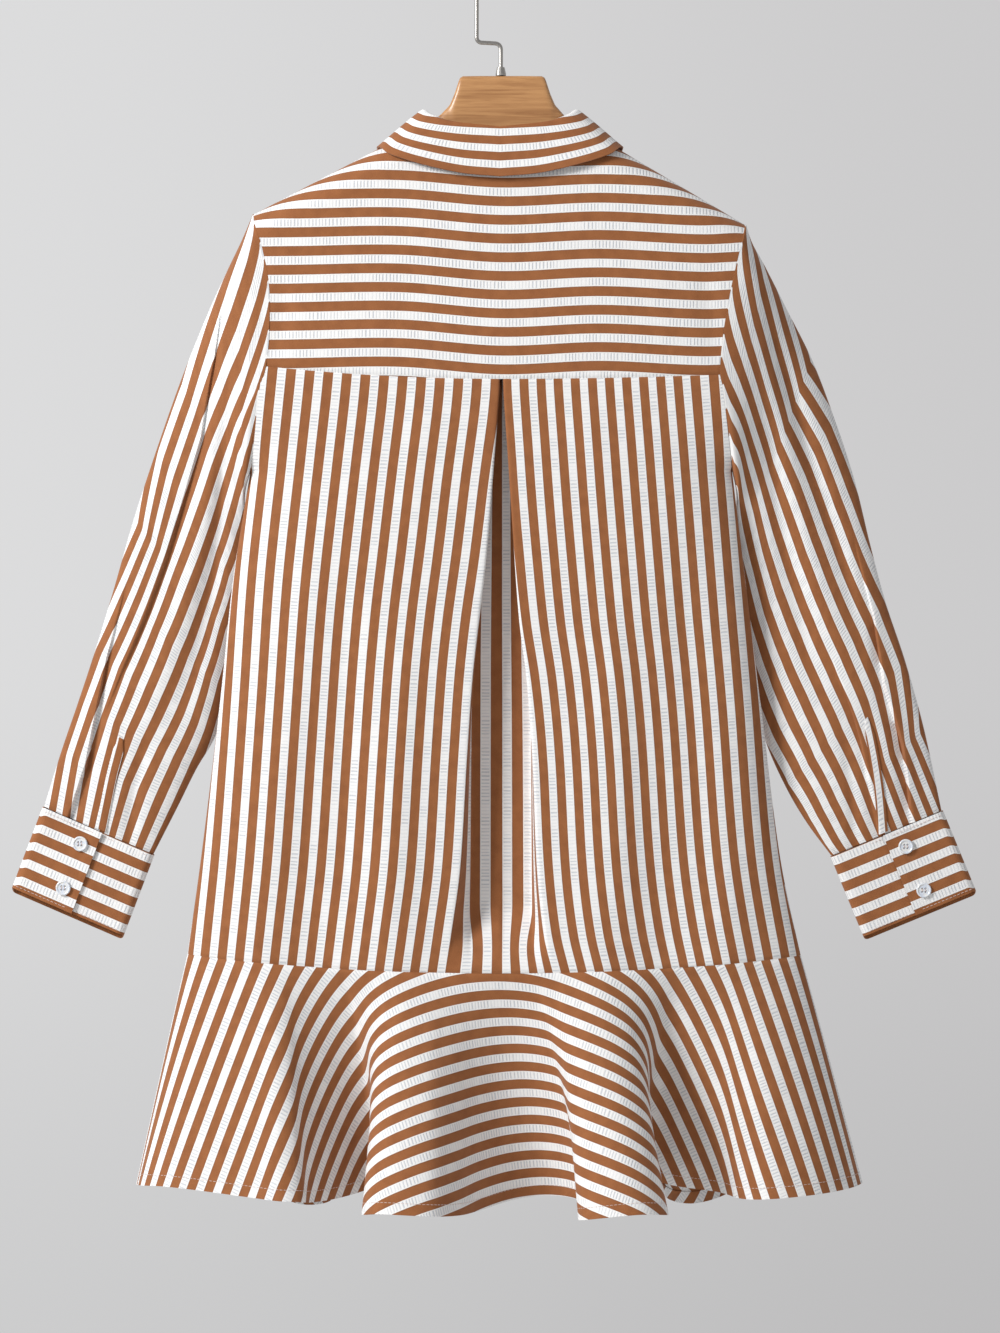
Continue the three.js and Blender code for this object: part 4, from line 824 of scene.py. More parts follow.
# Sleeves: the armhole's loop turns into a flattened tube down to the cuff
sleeves = {
    "left": table(
        "row outerX outerZ innerX innerZ middle half",
        (0, -205, -201, -207, -415, 0, 20),
        (1, -216, -224, -211.5, -424, 5, 20),
        (2, -230, -252, -214, -437, 10, 20),
        (3, -247.5, -289, -214, -457, 16, 19),
        (4, -267.5, -337, -213.5, -486, 21, 18),
        (5, -288, -394.5, -215, -523, 23, 17),
        (6, -307.5, -454, -220, -560, 23, 16),
        (7, -324.5, -514, -227.5, -600, 21, 15),
        (8, -339.5, -564.5, -239.5, -636.5, 18, 14),
        (9, -353.5, -608, -255, -663.5, 15, 12.5),
        (10, -367.5, -649.5, -270.5, -695, 13, 10.5),
        (11, -381.6, -695.4, -290.8, -734.9, 12, 6.6),
    ),
    "right": table(
        "row outerX outerZ innerX innerZ middle half",
        (0, 204.5, -208, 193, -415, 0, 20),
        (1, 210, -224, 196.5, -424, 5, 20),
        (2, 221.5, -244, 198.5, -437.5, 10, 20),
        (3, 239.5, -277.5, 198, -459, 16, 19),
        (4, 261.5, -319.5, 197.5, -488, 21, 18),
        (5, 280.5, -368.5, 200, -523, 23, 17),
        (6, 297.5, -420.5, 205.5, -558.5, 23, 16),
        (7, 311, -476.5, 213.5, -600.5, 21, 15),
        (8, 323.5, -524.5, 224, -642, 18, 14),
        (9, 339.5, -573.5, 240, -678.5, 15, 12.5),
        (10, 355, -630, 257.5, -708.5, 13, 10.5),
        (11, 369.6, -698.6, 278.0, -736.2, 12, 6.6),
    ),
    "fullRow": 4,
    "columns": {"left": (20, 34, 122), "right": (20, 86, 74)},
    # How far from the outer fold lie the tuck at the cuff, the long crease or the slit, and the middles
    # of the brown stripes inside it. Outside it the stripes go on at the same step.
    "stripes": {
        "left": table(
            "row tuck split 0 1 2 3 4 5 6 7",
            (0, -30, 5, 29, 60, 95, 141, 183, 222, 262, 300),
            (1, -28, 10, 39, 71, 102, 141, 180, 219, 258, 297),
            (2, -24, 15, 44, 78, 108, 136, 168, 200, 232, 264),
            (2.5, -20, 25, 44, 75, 103, 126, 157, 184, 211, 238),
            (3, -16, 38, 44, 73, 98, 121, 145, 169, 193, 217),
            (4, -12, 53, 40, 61, 84, 104, 124, 142, 160, 178),
            (5, -6, 48, 34, 52, 71, 90, 105, 120, 134, 150),
            (6, 2, 43.9, 33, 45, 59, 77, 93, 106, 118, 131),
            (7, 11, 35.6, 24, 36.5, 49, 64, 81, 95, 107, 121),
            (8, 12.5, 29, 16, 28.5, 42, 57, 73, 89, 103, 117),
            (9, 18, 25, 14, 26.2, 38, 51, 66, 81, 96, 111),
            (10, 24, 24.5, 14, 26, 41.5, 50, 61, 76, 91.5, 106.5),
            (11, 22.7, 23, 20, 32.4, 43.7, 53, 61.6, 74.3, 86.4, 99),
        ),
        "right": table(
            "row tuck split 0 1 2 3 4 5",
            (0, -50, 150, 132, 170, 208, 246, 284, 322),
            (1, -42, 140, 130, 162, 194, 226, 258, 290),
            (2, -19, 140, 128, 154, 180, 206, 232, 258),
            (3, 4, 134, 123, 145, 167, 189, 211, 233),
            (4, 17, 125, 116, 134, 154, 174, 194, 214),
            (5, 19, 116, 107, 126, 143, 160, 178, 196),
            (6, 19, 106, 97, 115, 133, 149, 165, 181),
            (7, 16, 75, 83, 100, 118, 135, 151, 167),
            (8, 16, 68, 73, 90, 107, 125, 142, 158),
            (9, 27, 64, 66, 82, 99, 115, 130, 146),
            (10, 23.5, 61, 57, 68, 84, 98, 112, 125),
            (11, 27, 50, 43, 54, 65, 77, 89.4, 100),
        ),
    },
    "firstStripe": {"left": -1, "right": 3},  # the count of the stripe in column 0
    # tucks that lap towards the inner side: distance from the outer fold, depth and rise of the lap
    "tucks": {
        "left": [
            table(
                "row from depth rise",
                (6.6, 10, 0, 0),
                (7.4, 11.5, 1.4, 0.6),
                (8, 12.5, 2.8, 1.2),
                (9, 18, 4.4, 2),
                (10, 24, 4.8, 2.2),
                (11, 22.7, 3.4, 1.6),
            ),
            table(
                "row from depth rise",
                (1.5, 12, 0, 0),
                (2.5, 25, 1.6, 0.6),
                (3, 38, 2.4, 0.9),
                (4, 53, 3, 1.2),
                (5, 48, 3, 1.2),
                (6, 43.9, 2.8, 1.2),
                (7, 35.6, 2.4, 1),
                (8, 29, 1.4, 0.6),
                (9, 25, 0, 0),
            ),
        ],
        "right": [
            table(
                "row from depth rise",
                (6.6, 16, 0, 0),
                (7.4, 16, 1.4, 0.6),
                (8, 16, 2.8, 1.2),
                (9, 27, 4.2, 1.8),
                (10, 23.5, 4.8, 2.2),
                (11, 27, 3.4, 1.6),
            ),
            table(
                "row from depth rise",
                (7.8, 69, 0, 0), (8.4, 66, 1, 0.6), (9.2, 63, 2.2, 1), (10, 61, 2.2, 1),
                (11, 56, 2, 1),
            ),
        ],
    },
    # soft creases along the sleeve: distance from the outer fold, half width and height
    "ridges": {
        "left": [
            table(
                "row from halfWidth height",
                (2.4, 60, 16, 0), (4, 78, 15, 2.4), (6, 74, 13, 2.8), (8, 62, 11, 1.8),
                (9.4, 60, 9, 0),
            ),
            table(
                "row from halfWidth height",
                (2.6, 100, 13, 0), (4.4, 104, 12, -2.6), (6.5, 96, 11, -2.4), (8.6, 84, 9, 0),
            ),
            table(
                "row from halfWidth height",
                (8.6, 66, 7, 0), (9.6, 68, 7, -1.8), (10.4, 72, 6, -2), (11, 76, 6, -1.4),
            ),
            table(
                "row from halfWidth height",
                (0.2, 40, 12, 0), (0.9, 60, 14, 1.8), (1.8, 90, 15, 1.6), (2.8, 120, 14, 0),
            ),
        ],
        "right": [
            table(
                "row from halfWidth height",
                (1.2, 20, 10, 0), (3, 36, 11, -2.6), (5, 42, 11, -3.4), (7, 34, 9, -2.6),
                (8.4, 30, 8, 0),
            ),
            table(
                "row from halfWidth height",
                (2.2, 60, 14, 0), (4, 70, 14, 2.6), (6, 70, 12, 2.8), (8, 56, 11, 1.6),
                (9.4, 52, 9, 0),
            ),
            table(
                "row from halfWidth height",
                (3, 96, 12, 0), (5, 100, 12, -2.4), (7, 92, 11, -2.2), (8.8, 86, 9, 0),
            ),
            table(
                "row from halfWidth height",
                (8.6, 78, 7, 0), (9.6, 78, 7, -1.8), (10.4, 78, 6, -2), (11, 78, 6, -1.4),
            ),
        ],
    },
    "placketRows": (9.2, 10.97),
    "placketFrom": {
        "left": table("row from", (9.2, 41), (9.6, 42), (10, 43), (10.5, 45), (11, 47)),
        "right": table("row from", (9.2, 48), (9.6, 48), (10, 48), (10.5, 48), (11, 49)),
    },
    "placketWidth": 9,
    "bindingBrown": {"left": 7.6, "right": 14.2},
    "flat": (0.3, 0.56),
    "cutArea": 0.118,
}


def armholePoint(hand, share, side):
    sign = -1 if hand == "left" else 1
    share = np.asarray(share, float)
    x = edgePlace(hand, np.array(0.0))[0] + 0 * share
    way = wayForDrop(shoulderLine(x) - body["underarm"]) * share
    for step in range(7):
        x = edgePlace(hand, side * way)[..., 0]
        way = wayForDrop(shoulderLine(x) - body["underarm"]) * share
    point = bodyPoint(x, side * way)
    point[..., 0] += sign * mix(1.1, 1.5, share**4)
    point[..., 1] = np.where((share == 0) | (share == 1), 0, point[..., 1])
    return point


def sleeveRow(hand, row):
    values = {name: float(curveValue(sleeves[hand], "row", name, row)) for name in sleeves[hand]}
    top, low = (armholePoint(hand, np.array(share), 1) for share in (0.0, 1.0))
    own = float(smooth(row / 1.2))
    outer = np.array([mix(top[0], values["outerX"], own), 0, mix(top[2], values["outerZ"], own)])
    inner = np.array([mix(low[0], values["innerX"], own), 0, mix(low[2], values["innerZ"], own)])
    return outer, inner, values["middle"], values["half"]


# Ease of a table's rows beyond its ends
def rowFade(source, row):
    return float(smooth((row - source["row"][0]) / 0.5 + 1) * smooth((source["row"][-1] - row) / 0.5 + 1))


def stripePlaces(hand, row):
    lying = sleeves["stripes"][hand]
    return {name: float(np.interp(row, lying["row"], lying[name])) for name in lying}


# Shares of the way across the back of a sleeve, in three runs that end at the tuck and at the crease
def acrossShares(hand, row, chord):
    places = stripePlaces(hand, row)
    tuck = max(places["tuck"], 3)
    split = max(places["split"], tuck + 2.5)
    counts = sleeves["columns"][hand]
    runs = [
        np.linspace(0, tuck - 0.12, counts[0]),
        np.linspace(tuck + 0.12, split - 0.12, counts[1]),
        split + 0.12 + (chord - split - 0.12) * np.sin(math.pi / 2 * np.linspace(0, 1, counts[2])) ** 0.9,
    ]
    return np.concatenate(runs) / chord


# The stripe's count at distances from the outer fold, on straight lines through the stripes and beyond them
def stripeCount(hand, row, fromFold):
    places = stripePlaces(hand, row)
    at = np.array([places[name] for name in places if name.isdigit()])
    count = sleeves["firstStripe"][hand] + np.arange(len(at))
    before = np.minimum(fromFold - at[0], 0) / (at[1] - at[0])
    after = np.maximum(fromFold - at[-1], 0) / (at[-1] - at[-2])
    return np.interp(fromFold, at, count) + (before + after)


def sleeveLying(hand, row, fromFold):
    depth = np.zeros_like(fromFold)
    for tuck in sleeves["tucks"][hand]:
        if row < tuck["row"][0] or row > tuck["row"][-1]:
            continue
        columns = ("from", "depth", "rise")
        at, deep, rise = (float(np.interp(row, tuck["row"], tuck[name])) for name in columns)
        off = fromFold - at
        step = smooth(off / 1.6 + 0.5)
        depth += step * deep * np.exp(-((np.maximum(off, 0) / 9) ** 2))
        depth -= (1 - step) * rise * np.exp(-((np.minimum(off, 0) / 8) ** 2))
    for ridge in sleeves["ridges"][hand]:
        if row < ridge["row"][0] - 0.5 or row > ridge["row"][-1] + 0.5:
            continue
        columns = ("from", "halfWidth", "height")
        at, halfWidth, height = (float(curveValue(ridge, "row", name, row)) for name in columns)
        depth -= rowFade(ridge, row) * height * np.exp(-(((fromFold - at) / halfWidth) ** 2))
    return depth


def sleeveSide(hand, row, share, side):
    outer, inner, middle, half = sleeveRow(hand, row)
    points = outer[None] + (inner - outer)[None] * share[:, None]
    own = float(smooth(row / sleeves["fullRow"]))
    if own < 1:
        loop = armholePoint(hand, share, side)
        ends = [armholePoint(hand, np.array(s), 1) for s in (0.0, 1.0)]
        points += (1 - own) * (loop - mix(ends[0][None], ends[1][None], share[:, None]))
    section = np.sqrt(np.maximum(1 - np.abs(2 * share - 1) ** 2.6, 0))
    points[:, 1] += own * (middle + side * half * section)
    fromFold = share * np.linalg.norm(inner - outer)
    if side < 0:
        points[:, 1] += np.minimum(sleeveLying(hand, row, fromFold), half * section * 1.25) * own
        return points, stripeCount(hand, row, fromFold)
    # the far side has softer creases of its own, and its stripes go on round the outer fold
    ahead, behind = sleeveRow(hand, min(row + 0.2, 11))[0], sleeveRow(hand, max(row - 0.2, 0))[0]
    along = (ahead - behind) / np.linalg.norm(ahead - behind)
    chord = (inner - outer) / np.linalg.norm(inner - outer)
    slant = abs(chord[0] * along[2] - chord[2] * along[0])
    away = slant * runLength(points[::-1])[::-1]
    creased = np.clip(sleeveLying(hand, row, fromFold * 0.9 + 6), -3, half * section * 0.8)
    points[:, 1] -= creased * own * 0.7
    return points, stripeCount(hand, row, np.zeros(1)) - away / cloth["pitch"]


def sleeveRowShares():
    return np.concatenate([[0, 0.03, 0.07, 0.13], np.linspace(0.2, 10.9, 136), [10.94, 10.97, 11]])


def makeSleeve(hand):
    frontShares = ((1 - np.cos(math.pi * np.linspace(0, 1, 61))) / 2)[::-1]
    rows = sleeveRowShares()
    along = 0
    before = None
    grid, stripes = [], []
    for row in rows:
        outer, inner = sleeveRow(hand, row)[:2]
        backShares = acrossShares(hand, row, np.linalg.norm(inner - outer))
        back, backAcross = sleeveSide(hand, row, backShares, -1)
        front, frontAcross = sleeveSide(hand, row, frontShares, 1)
        ring = np.concatenate([back, front[1:-1], back[:1]])
        across = np.concatenate([backAcross, frontAcross[1:-1], backAcross[:1]])
        if before is not None:
            along += np.linalg.norm(ring[0] - before)
        before = ring[0]
        dip = float(seamDip(row * 24, 1.0))
        ring = ring + dip * np.array([1 if hand == "left" else -1, 0, 0])
        if row > 10.8:
            # the sleeve's end goes into the cuff
            ring[:, 1] = mix(ring[:, 1], cuffs[hand]["middle"], 0.12 * (row - 10.8) / 0.2)
        grid.append(ring)
        stripes.append(np.stack([across + 0.5, 0 * across + along / cloth["pitch"]], -1))
    grid, stripes = np.array(grid), np.array(stripes)
    piece = clothShell(f"sleeve_{hand}_cloth", grid, stripes, cloth["wall"], around=True)
    wear(piece, "striped_cloth", f"sleeve_{hand}")


# The binding of the slit above a cuff, which lies on the outer side of the slit
def makeSleeveBinding(hand):
    rows = np.linspace(*sleeves["placketRows"], 40)
    width = sleeves["placketWidth"]
    grid, stripes = [], []
    for row in rows:
        outer, inner = sleeveRow(hand, row)[:2]
        chord = np.linalg.norm(inner - outer)
        start = float(curveValue(sleeves["placketFrom"][hand], "row", "from", row))
        shown = width * (0.4 + 0.6 * float(smooth((row - rows[0]) / 0.3)))
        place = start + width / 2 + shown * np.linspace(-0.5, 0.5, 13)
        line = sleeveSide(hand, row, place / chord, -1)[0]
        line[:, 1] -= 1.1 + 0.4 * (1 - ((place - start - width / 2) / (shown / 2)) ** 4)
        grid.append(line)
        stripes.append(stripeMap((place - start) * 1.35, row * 45, sleeves["bindingBrown"][hand]))
    piece = clothShell(f"sleeve_binding_{hand}", np.array(grid), np.array(stripes), cloth["wall"] * 0.8)
    wear(piece, "striped_cloth", f"sleeve_placket_{hand}")


# Cuffs: a strip that runs round the wrist and laps over itself under the buttons
cuffs = {
    "width": 101,
    "depth": 72,
    "half": 6.4,
    "lapShare": 0.54,
    "lapWidth": 25,
    "brownAt": 12,
    "lapShift": 2.6,  # how far the lap's stripes miss those they meet
    "lapEdge": 0.5,  # how far the lap's edge stands off
    "frontDrop": 4.5,  # the far half hangs a little lower, so that its inside edge shows
    "left": {"x": -382.8, "z": -695.6, "turn": -23.4, "lean": -20.8, "middle": 12},
    "right": {"x": 370.8, "z": -698.7, "turn": -22.4, "lean": -22.4, "middle": 12},
    "buttonsDown": (15.5, 55),
    "buttonFromEdge": 14,
}


def cuffPoint(hand, along, out, down):
    cuff = cuffs[hand]
    sign = 1 if hand == "left" else -1
    across, fall = math.radians(cuff["turn"]), math.radians(cuff["lean"])
    return np.stack(
        [
            cuff["x"] + sign * (along * math.cos(across) + down * math.sin(fall)),
            cuff["middle"] + out + 0 * down,
            cuff["z"] + along * math.sin(across) - down * math.cos(fall),
        ],
        -1,
    )


def cuffPath():
    half, width = cuffs["half"], cuffs["width"]
    over = -half - 1
    under = over + body["layerStep"] + 0.25
    lapEnd = width * cuffs["lapShare"]
    turn = np.linspace(0, math.pi, 15)[1:-1]

    def bend(atX, sign, start, end):
        return np.stack([atX + sign * half * np.sin(turn), mix(start, end, (1 - np.cos(turn)) / 2)], -1)

    def run(fromX, toX, out, count):
        return np.stack([np.linspace(fromX, toX, count), np.full(count, out)], -1)

    return np.concatenate(
        [
            run(lapEnd - cuffs["lapWidth"], width - half, under, 34),
            bend(width - half, 1, under, half),
            run(width - half, half, half, 36),
            bend(half, -1, half, over),
            run(half, lapEnd, over, 24),
        ]
    )


def makeCuff(hand):
    path = cuffPath()
    along = runLength(path)
    down = seamShares(cuffs["depth"], 2.6, (0.5, 1.2, 2.2))[:, None] * cuffs["depth"]
    out = np.repeat(path[None, :, 1], len(down), 0)
    far = smooth((out + 2) / (cuffs["half"] + 2)) * cuffs["frontDrop"]
    deep = down + far * (down / cuffs["depth"])
    # the lapped edge lifts a little between its buttons, and the cuff bulges between its stitched edges
    bulge = np.sin(math.pi * down / cuffs["depth"]) ** 0.5 * 0.5
    first, last = cuffs["buttonsDown"]
    between = np.abs(np.sin(math.pi * (down - first) / (last - first)))
    lapLift = smooth((along[None] - along[-1] + 14) / 14) * (cuffs["lapEdge"] + 0.7 * between)
    sway = 0.5 * np.sin(along[None] / 11 + down / 19) * smooth((along[-1] - along[None]) / 20)
    out = out + np.sign(out) * bulge - lapLift + sway * smooth((-out) / 3)
    grid = cuffPoint(hand, np.repeat(path[None, :, 0], len(down), 0), out, deep)
    lapped = smooth((along[None] - along[-1] + cuffs["width"] * cuffs["lapShare"]) / 6)
    stripes = stripeMap(deep + cuffs["lapShift"] * lapped, along[None] + 0 * deep, cuffs["brownAt"])
    piece = clothShell(f"cuff_{hand}_cloth", grid, stripes, cloth["wall"])
    wear(piece, "striped_cloth", f"cuff_{hand}")


for hand in ("left", "right"):
    makeSleeve(hand)
    makeSleeveBinding(hand)
    makeCuff(hand)
print("sleeves and cuffs sewn")


# Flounce: cut as a ring, so that its stripes run level at the centre and upright at the side seams
flounce = {
    "ease": 0.98,
    "ringRadius": 175.7,
    "hemFold": 10,
    "depth": 198,
    "back": table(
        "x y length",
        (-304.6, 12, 199.5), (-298, -14, 196), (-276, -36, 192), (-240, -50, 191), (-204, -62, 193),
        (-178, -72, 196), (-163, -66, 196), (-156, -46, 195), (-134, -14, 194), (-110, 12, 194),
        (-96, 16, 195), (-95, -2, 196), (-110, -36, 198), (-112.5, -60, 200), (-98, -80, 200),
        (-58, -82, 201), (-36, -60, 199), (-14, -24, 196), (10, -2, 194), (36, 5, 194),
        (60, -2, 196), (74, -18, 199), (68, -44, 202), (65, -66, 203), (82, -88, 204),
        (114, -92, 204), (136, -72, 204), (134, -40, 201), (116, -2, 197), (112, 26, 196),
        (124, 34, 196), (150, 24, 196), (184, 4, 195), (202, -20, 196), (226, -36, 196),
        (262, -30, 197), (292, -8, 198.5), (303.5, 12, 199.5),
    ),
    "front": table(
        "x y length",
        (303.5, 12.6, 199.5), (300, 60, 200), (276, 98, 201), (236, 104, 202), (206, 84, 206),
        (188, 62, 209), (164, 54, 210), (146, 66, 209), (134, 98, 206), (108, 122, 203),
        (74, 122, 200), (52, 98, 197), (38, 70, 194), (20, 52, 193), (-2, 48, 193), (-22, 54, 193),
        (-38, 78, 196), (-56, 108, 200), (-88, 124, 203), (-120, 112, 206), (-138, 86, 209),
        (-150, 62, 210), (-168, 54, 210), (-190, 62, 207), (-208, 86, 203), (-232, 106, 200),
        (-266, 104, 199), (-294, 66, 199), (-304.6, 12.6, 199.5),
    ),
    "flat": {"back": (0.98, 0.39), "front": (0.98, 0.39)},
    "cutArea": {"back": 0.17, "front": 0.17},
}


# Points evenly spaced by length on a smooth line, whose knots are spaced by the root of their distance
def evenLine(points, count):
    points = np.asarray(points, float)
    firstPoint, lastPoint = 2 * points[0] - points[1], 2 * points[-1] - points[-2]
    full = np.concatenate([firstPoint[None], points, lastPoint[None]])
    fine = []
    for i in range(len(points) - 1):
        p = full[i:i + 4]
        gaps = [max(np.linalg.norm(p[k + 1] - p[k]) ** 0.5, 1e-4) for k in range(3)]
        slopeA = (p[1] - p[0]) / gaps[0] - (p[2] - p[0]) / (gaps[0] + gaps[1]) + (p[2] - p[1]) / gaps[1]
        slopeB = (p[2] - p[1]) / gaps[1] - (p[3] - p[1]) / (gaps[1] + gaps[2]) + (p[3] - p[2]) / gaps[2]
        slopeA, slopeB = slopeA * gaps[1], slopeB * gaps[1]
        t = np.linspace(0, 1, 24, endpoint=False)[:, None]
        fine.append(
            p[1] * (2 * t**3 - 3 * t**2 + 1)
            + p[2] * (3 * t**2 - 2 * t**3)
            + slopeA * (t**3 - 2 * t**2 + t)
            + slopeB * (t**3 - t**2)
        )
    fine = np.concatenate([*fine, points[-1:]])
    lengths = runLength(fine)
    at = np.linspace(0, lengths[-1], count + 1)
    return np.stack([np.interp(at, lengths, fine[:, k]) for k in range(3)], -1)


def seamLine(side, count):
    ends = [edgeAtSeam(hand, flounceSeamHeight, 0, side)[0] for hand in ("left", "right")]
    angle = math.pi * (np.linspace(0, 1, 161) - 0.5)
    x = mix(ends[0], ends[1], (1 + np.sin(angle)) / 2)
    raw = bodyPointAtHeight(x, flounceSeamHeight(x), side)
    raw[:, 2] = 0
    line = evenLine(raw, count)
    return line if side < 0 else line[::-1]


# Points of the flounce at shares of the way from the seam to the hem
def flouncePoints(name, shares, count):
    side = -1 if name == "back" else 1
    hem = np.stack([flounce[name][column] for column in ("x", "y", "length")], -1)
    edge, seam = evenLine(hem, count), seamLine(side, count)
    reach = edge[:, :2] - seam[:, :2]
    drop = np.sqrt(edge[:, 2] ** 2 - (reach**2).sum(1))
    v = shares[:, None]
    grid = np.zeros((len(shares), count + 1, 3))
    grid[..., :2] = seam[None, :, :2] + reach[None] * (v**flounce["ease"])[..., None]
    grid[..., 2] = flounceSeamHeight(seam[:, 0])[None] - body["seamGap"] / 2 - drop[None] * v
    grid[..., 1] -= side * seamDip(v * flounce["depth"], 0.8)
    radius = flounce["ringRadius"] + edge[None, :, 2] * v
    angle = np.linspace(-math.pi / 2, math.pi / 2, count + 1)[None]
    return grid, stripeMap(radius * np.cos(angle), radius * np.sin(angle))


def makeFlounce(name, count):
    shares = seamShares(flounce["depth"], 3.4)
    grid, stripes = flouncePoints(name, shares, count)
    piece = clothShell(f"flounce_{name}_cloth", grid, stripes, cloth["wall"])
    wear(piece, "striped_cloth", f"flounce_{name}")
    # the hem is turned up inside and shows the cloth's face again, mirrored
    turned = flounce["hemFold"] / flounce["depth"]
    shares = np.linspace(1 - turned, 0.9985, 6)
    inside = flouncePoints(name, shares, count)[0]
    mirrored = flouncePoints(name, 2 - shares, count)[1]
    normals = np.cross(np.gradient(inside, axis=1), np.gradient(inside, axis=0))
    normals /= np.linalg.norm(normals, axis=2, keepdims=True)
    facing = 1 if normals[0, count // 2, 1] * (-1 if name == "back" else 1) < 0 else -1
    inside = inside + facing * normals * (cloth["wall"] + 0.05)
    band = clothShell(f"hem_{name}_turned", inside, mirrored, cloth["wall"] * 0.8)
    wear(band, "striped_cloth")


makeFlounce("back", 350)
makeFlounce("front", 260)
print("flounce sewn")


# Collar: a band round the neck and a turned-down part whose stripes follow its edge
collar = {
    "rollHalfWidth": 62,
    "roll": table(
        "turn y z",
        (0, -17, -131), (40, -16, -126), (65, -12.5, -119.5), (90, 0, -114.8), (115, 14, -127),
        (145, 22, -161), (180, 25, -188),
    ),
    "edge": table(
        "turn x y z",
        (0, 0, -27.5, -172), (25, 33, -27.5, -169), (48, 68, -27, -161), (70, 92, -22.5, -152.5),
        (80, 99, -13, -146.4), (90, 102.5, 0, -144.7), (100, 101.5, 14, -148.5),
        (110, 98, 24.5, -162), (132, 84, 28.5, -197), (152, 62, 29.5, -232), (170, 46, 30, -252),
    ),
    "depth": table(
        "turn cloth",
        (0, 50.6), (40, 54.4), (65, 60.4), (90, 63), (115, 60), (132, 66), (152, 74), (170, 80),
    ),
    "out": 3.2,
    "over": 0.75,
    "swell": 1.2,
    "frontSwell": 3,
    "standEnd": 187,
    "fallEnd": 168,
    "edgeBrown": 3.4,  # from the edge to the middle of the last brown stripe
}


def standPoint(turn, up):
    turn = np.asarray(turn, float)
    sign, way, angle = np.sign(turn), np.abs(turn), np.radians(turn)
    folded = np.minimum(way, 360 - way)
    places = neckPlace(turn)
    foot = bodyPoint(places[..., 0], places[..., 1])
    foot[..., 2] += 0.4 + np.sin(angle) ** 2 * 1.2 + 0.3 * smooth((way - 160) / 8)
    steep = smooth((folded - 92) / 14) * smooth((174 - folded) / 20)
    roll = np.stack(
        [
            collar["rollHalfWidth"] * np.sin(angle),
            curveValue(collar["roll"], "turn", "y", folded),
            curveValue(collar["roll"], "turn", "z", folded) - 1.4 - 1.9 * steep,
        ],
        -1,
    )
    point = mix(foot, roll, up[..., None])
    point[..., 1] += sign * smooth((way - 148) / 24) * body["layerStep"] * 0.6
    return point


def makeCollarStand():
    end = collar["standEnd"]
    turns, up = np.meshgrid(np.linspace(-end, end, 201), np.linspace(0, 1, 15))
    grid = standPoint(turns, up)
    around = runLength(grid[7])[None] + 0 * up
    piece = clothShell("collar_band_cloth", grid, stripeMap(up * 30, around, 12), cloth["collarWall"])
    wear(piece, "striped_cloth", "collar_stand")


def fallPoint(turn, down):
    sign = np.where(turn < 0, -1, 1)
    way = np.abs(turn)
    angle = np.radians(way)
    roll = np.stack(
        [
            collar["rollHalfWidth"] * np.sin(angle),
            curveValue(collar["roll"], "turn", "y", way),
            curveValue(collar["roll"], "turn", "z", way),
        ],
        -1,
    )
    outward = np.stack([np.sin(angle), -np.cos(angle), 0 * angle], -1)
    edge = np.stack([curveValue(collar["edge"], "turn", name, np.minimum(way, 170)) for name in "xyz"], -1)
    # over the roll in a small arc, then down to the edge with a swell
    over = np.clip(down / 0.06, 0, 1)
    share = np.clip((down - 0.06) / 0.94, 0, 1)
    curve = np.sin(math.pi * share)
    arc = np.sin(over * math.pi / 2)
    standOff = collar["out"] * (1 - np.cos(over * math.pi / 2)) + collar["swell"] * curve
    point = roll + outward * standOff[..., None]
    point[..., 1] += collar["frontSwell"] * curve * smooth((way - 94) / 12)
    point = mix(point, edge, share[..., None])
    point[..., 2] += collar["over"] * arc * (1 - share)
    point[..., 0] *= sign
    return point


def makeCollarFall():
    end = collar["fallEnd"]
    turns, down = np.meshgrid(
        np.linspace(-end, end, 241),
        np.concatenate([np.linspace(0, 0.06, 6)[:-1], np.linspace(0.06, 1, 34)]),
    )
    grid = fallPoint(turns, down)
    depth = curveValue(collar["depth"], "turn", "cloth", np.abs(turns))
    fromEdge = (1 - down) * depth
    around = runLength(grid[20])[None] + 0 * down
    stripes = stripeMap(fromEdge, around, collar["edgeBrown"])
    piece = clothShell("collar_fall_cloth", grid, stripes, cloth["collarWall"])
    wear(piece, "striped_cloth", "collar_fall")


makeCollarStand()
makeCollarFall()
print("collar sewn")


# Hard parts: a closed form through rings of points, with a fan over each end
def closedRings(name, rings, material, sharpFrom=40):
    rings = np.asarray(rings, float)
    sides = rings.shape[1]
    last = (len(rings) - 1) * sides
    ends = np.stack([rings[0].mean(0), rings[-1].mean(0)])
    points = np.concatenate([rings.reshape(-1, 3), ends]) * mm
    here = np.arange(sides)
    after = (here + 1) % sides
    faces = []
    for foot in range(0, last, sides):
        above = foot + sides
        faces += np.stack([foot + here, foot + after, above + after, above + here], -1).tolist()
    faces += np.stack([0 * here + last + sides, after, here], -1).tolist()
    faces += np.stack([0 * here + last + sides + 1, last + here, last + after], -1).tolist()
    mesh = bpy.data.meshes.new(name)
    mesh.from_pydata(points.tolist(), [], faces)
    bm = bmesh.new()
    bm.from_mesh(mesh)
    bmesh.ops.recalc_face_normals(bm, faces=bm.faces)
    bm.to_mesh(mesh)
    bm.free()
    mesh.set_sharp_from_angle(angle=math.radians(sharpFrom))
    mesh.materials.append(material)
    piece = bpy.data.objects.new(name, mesh)
    bpy.context.collection.objects.link(piece)
    return piece


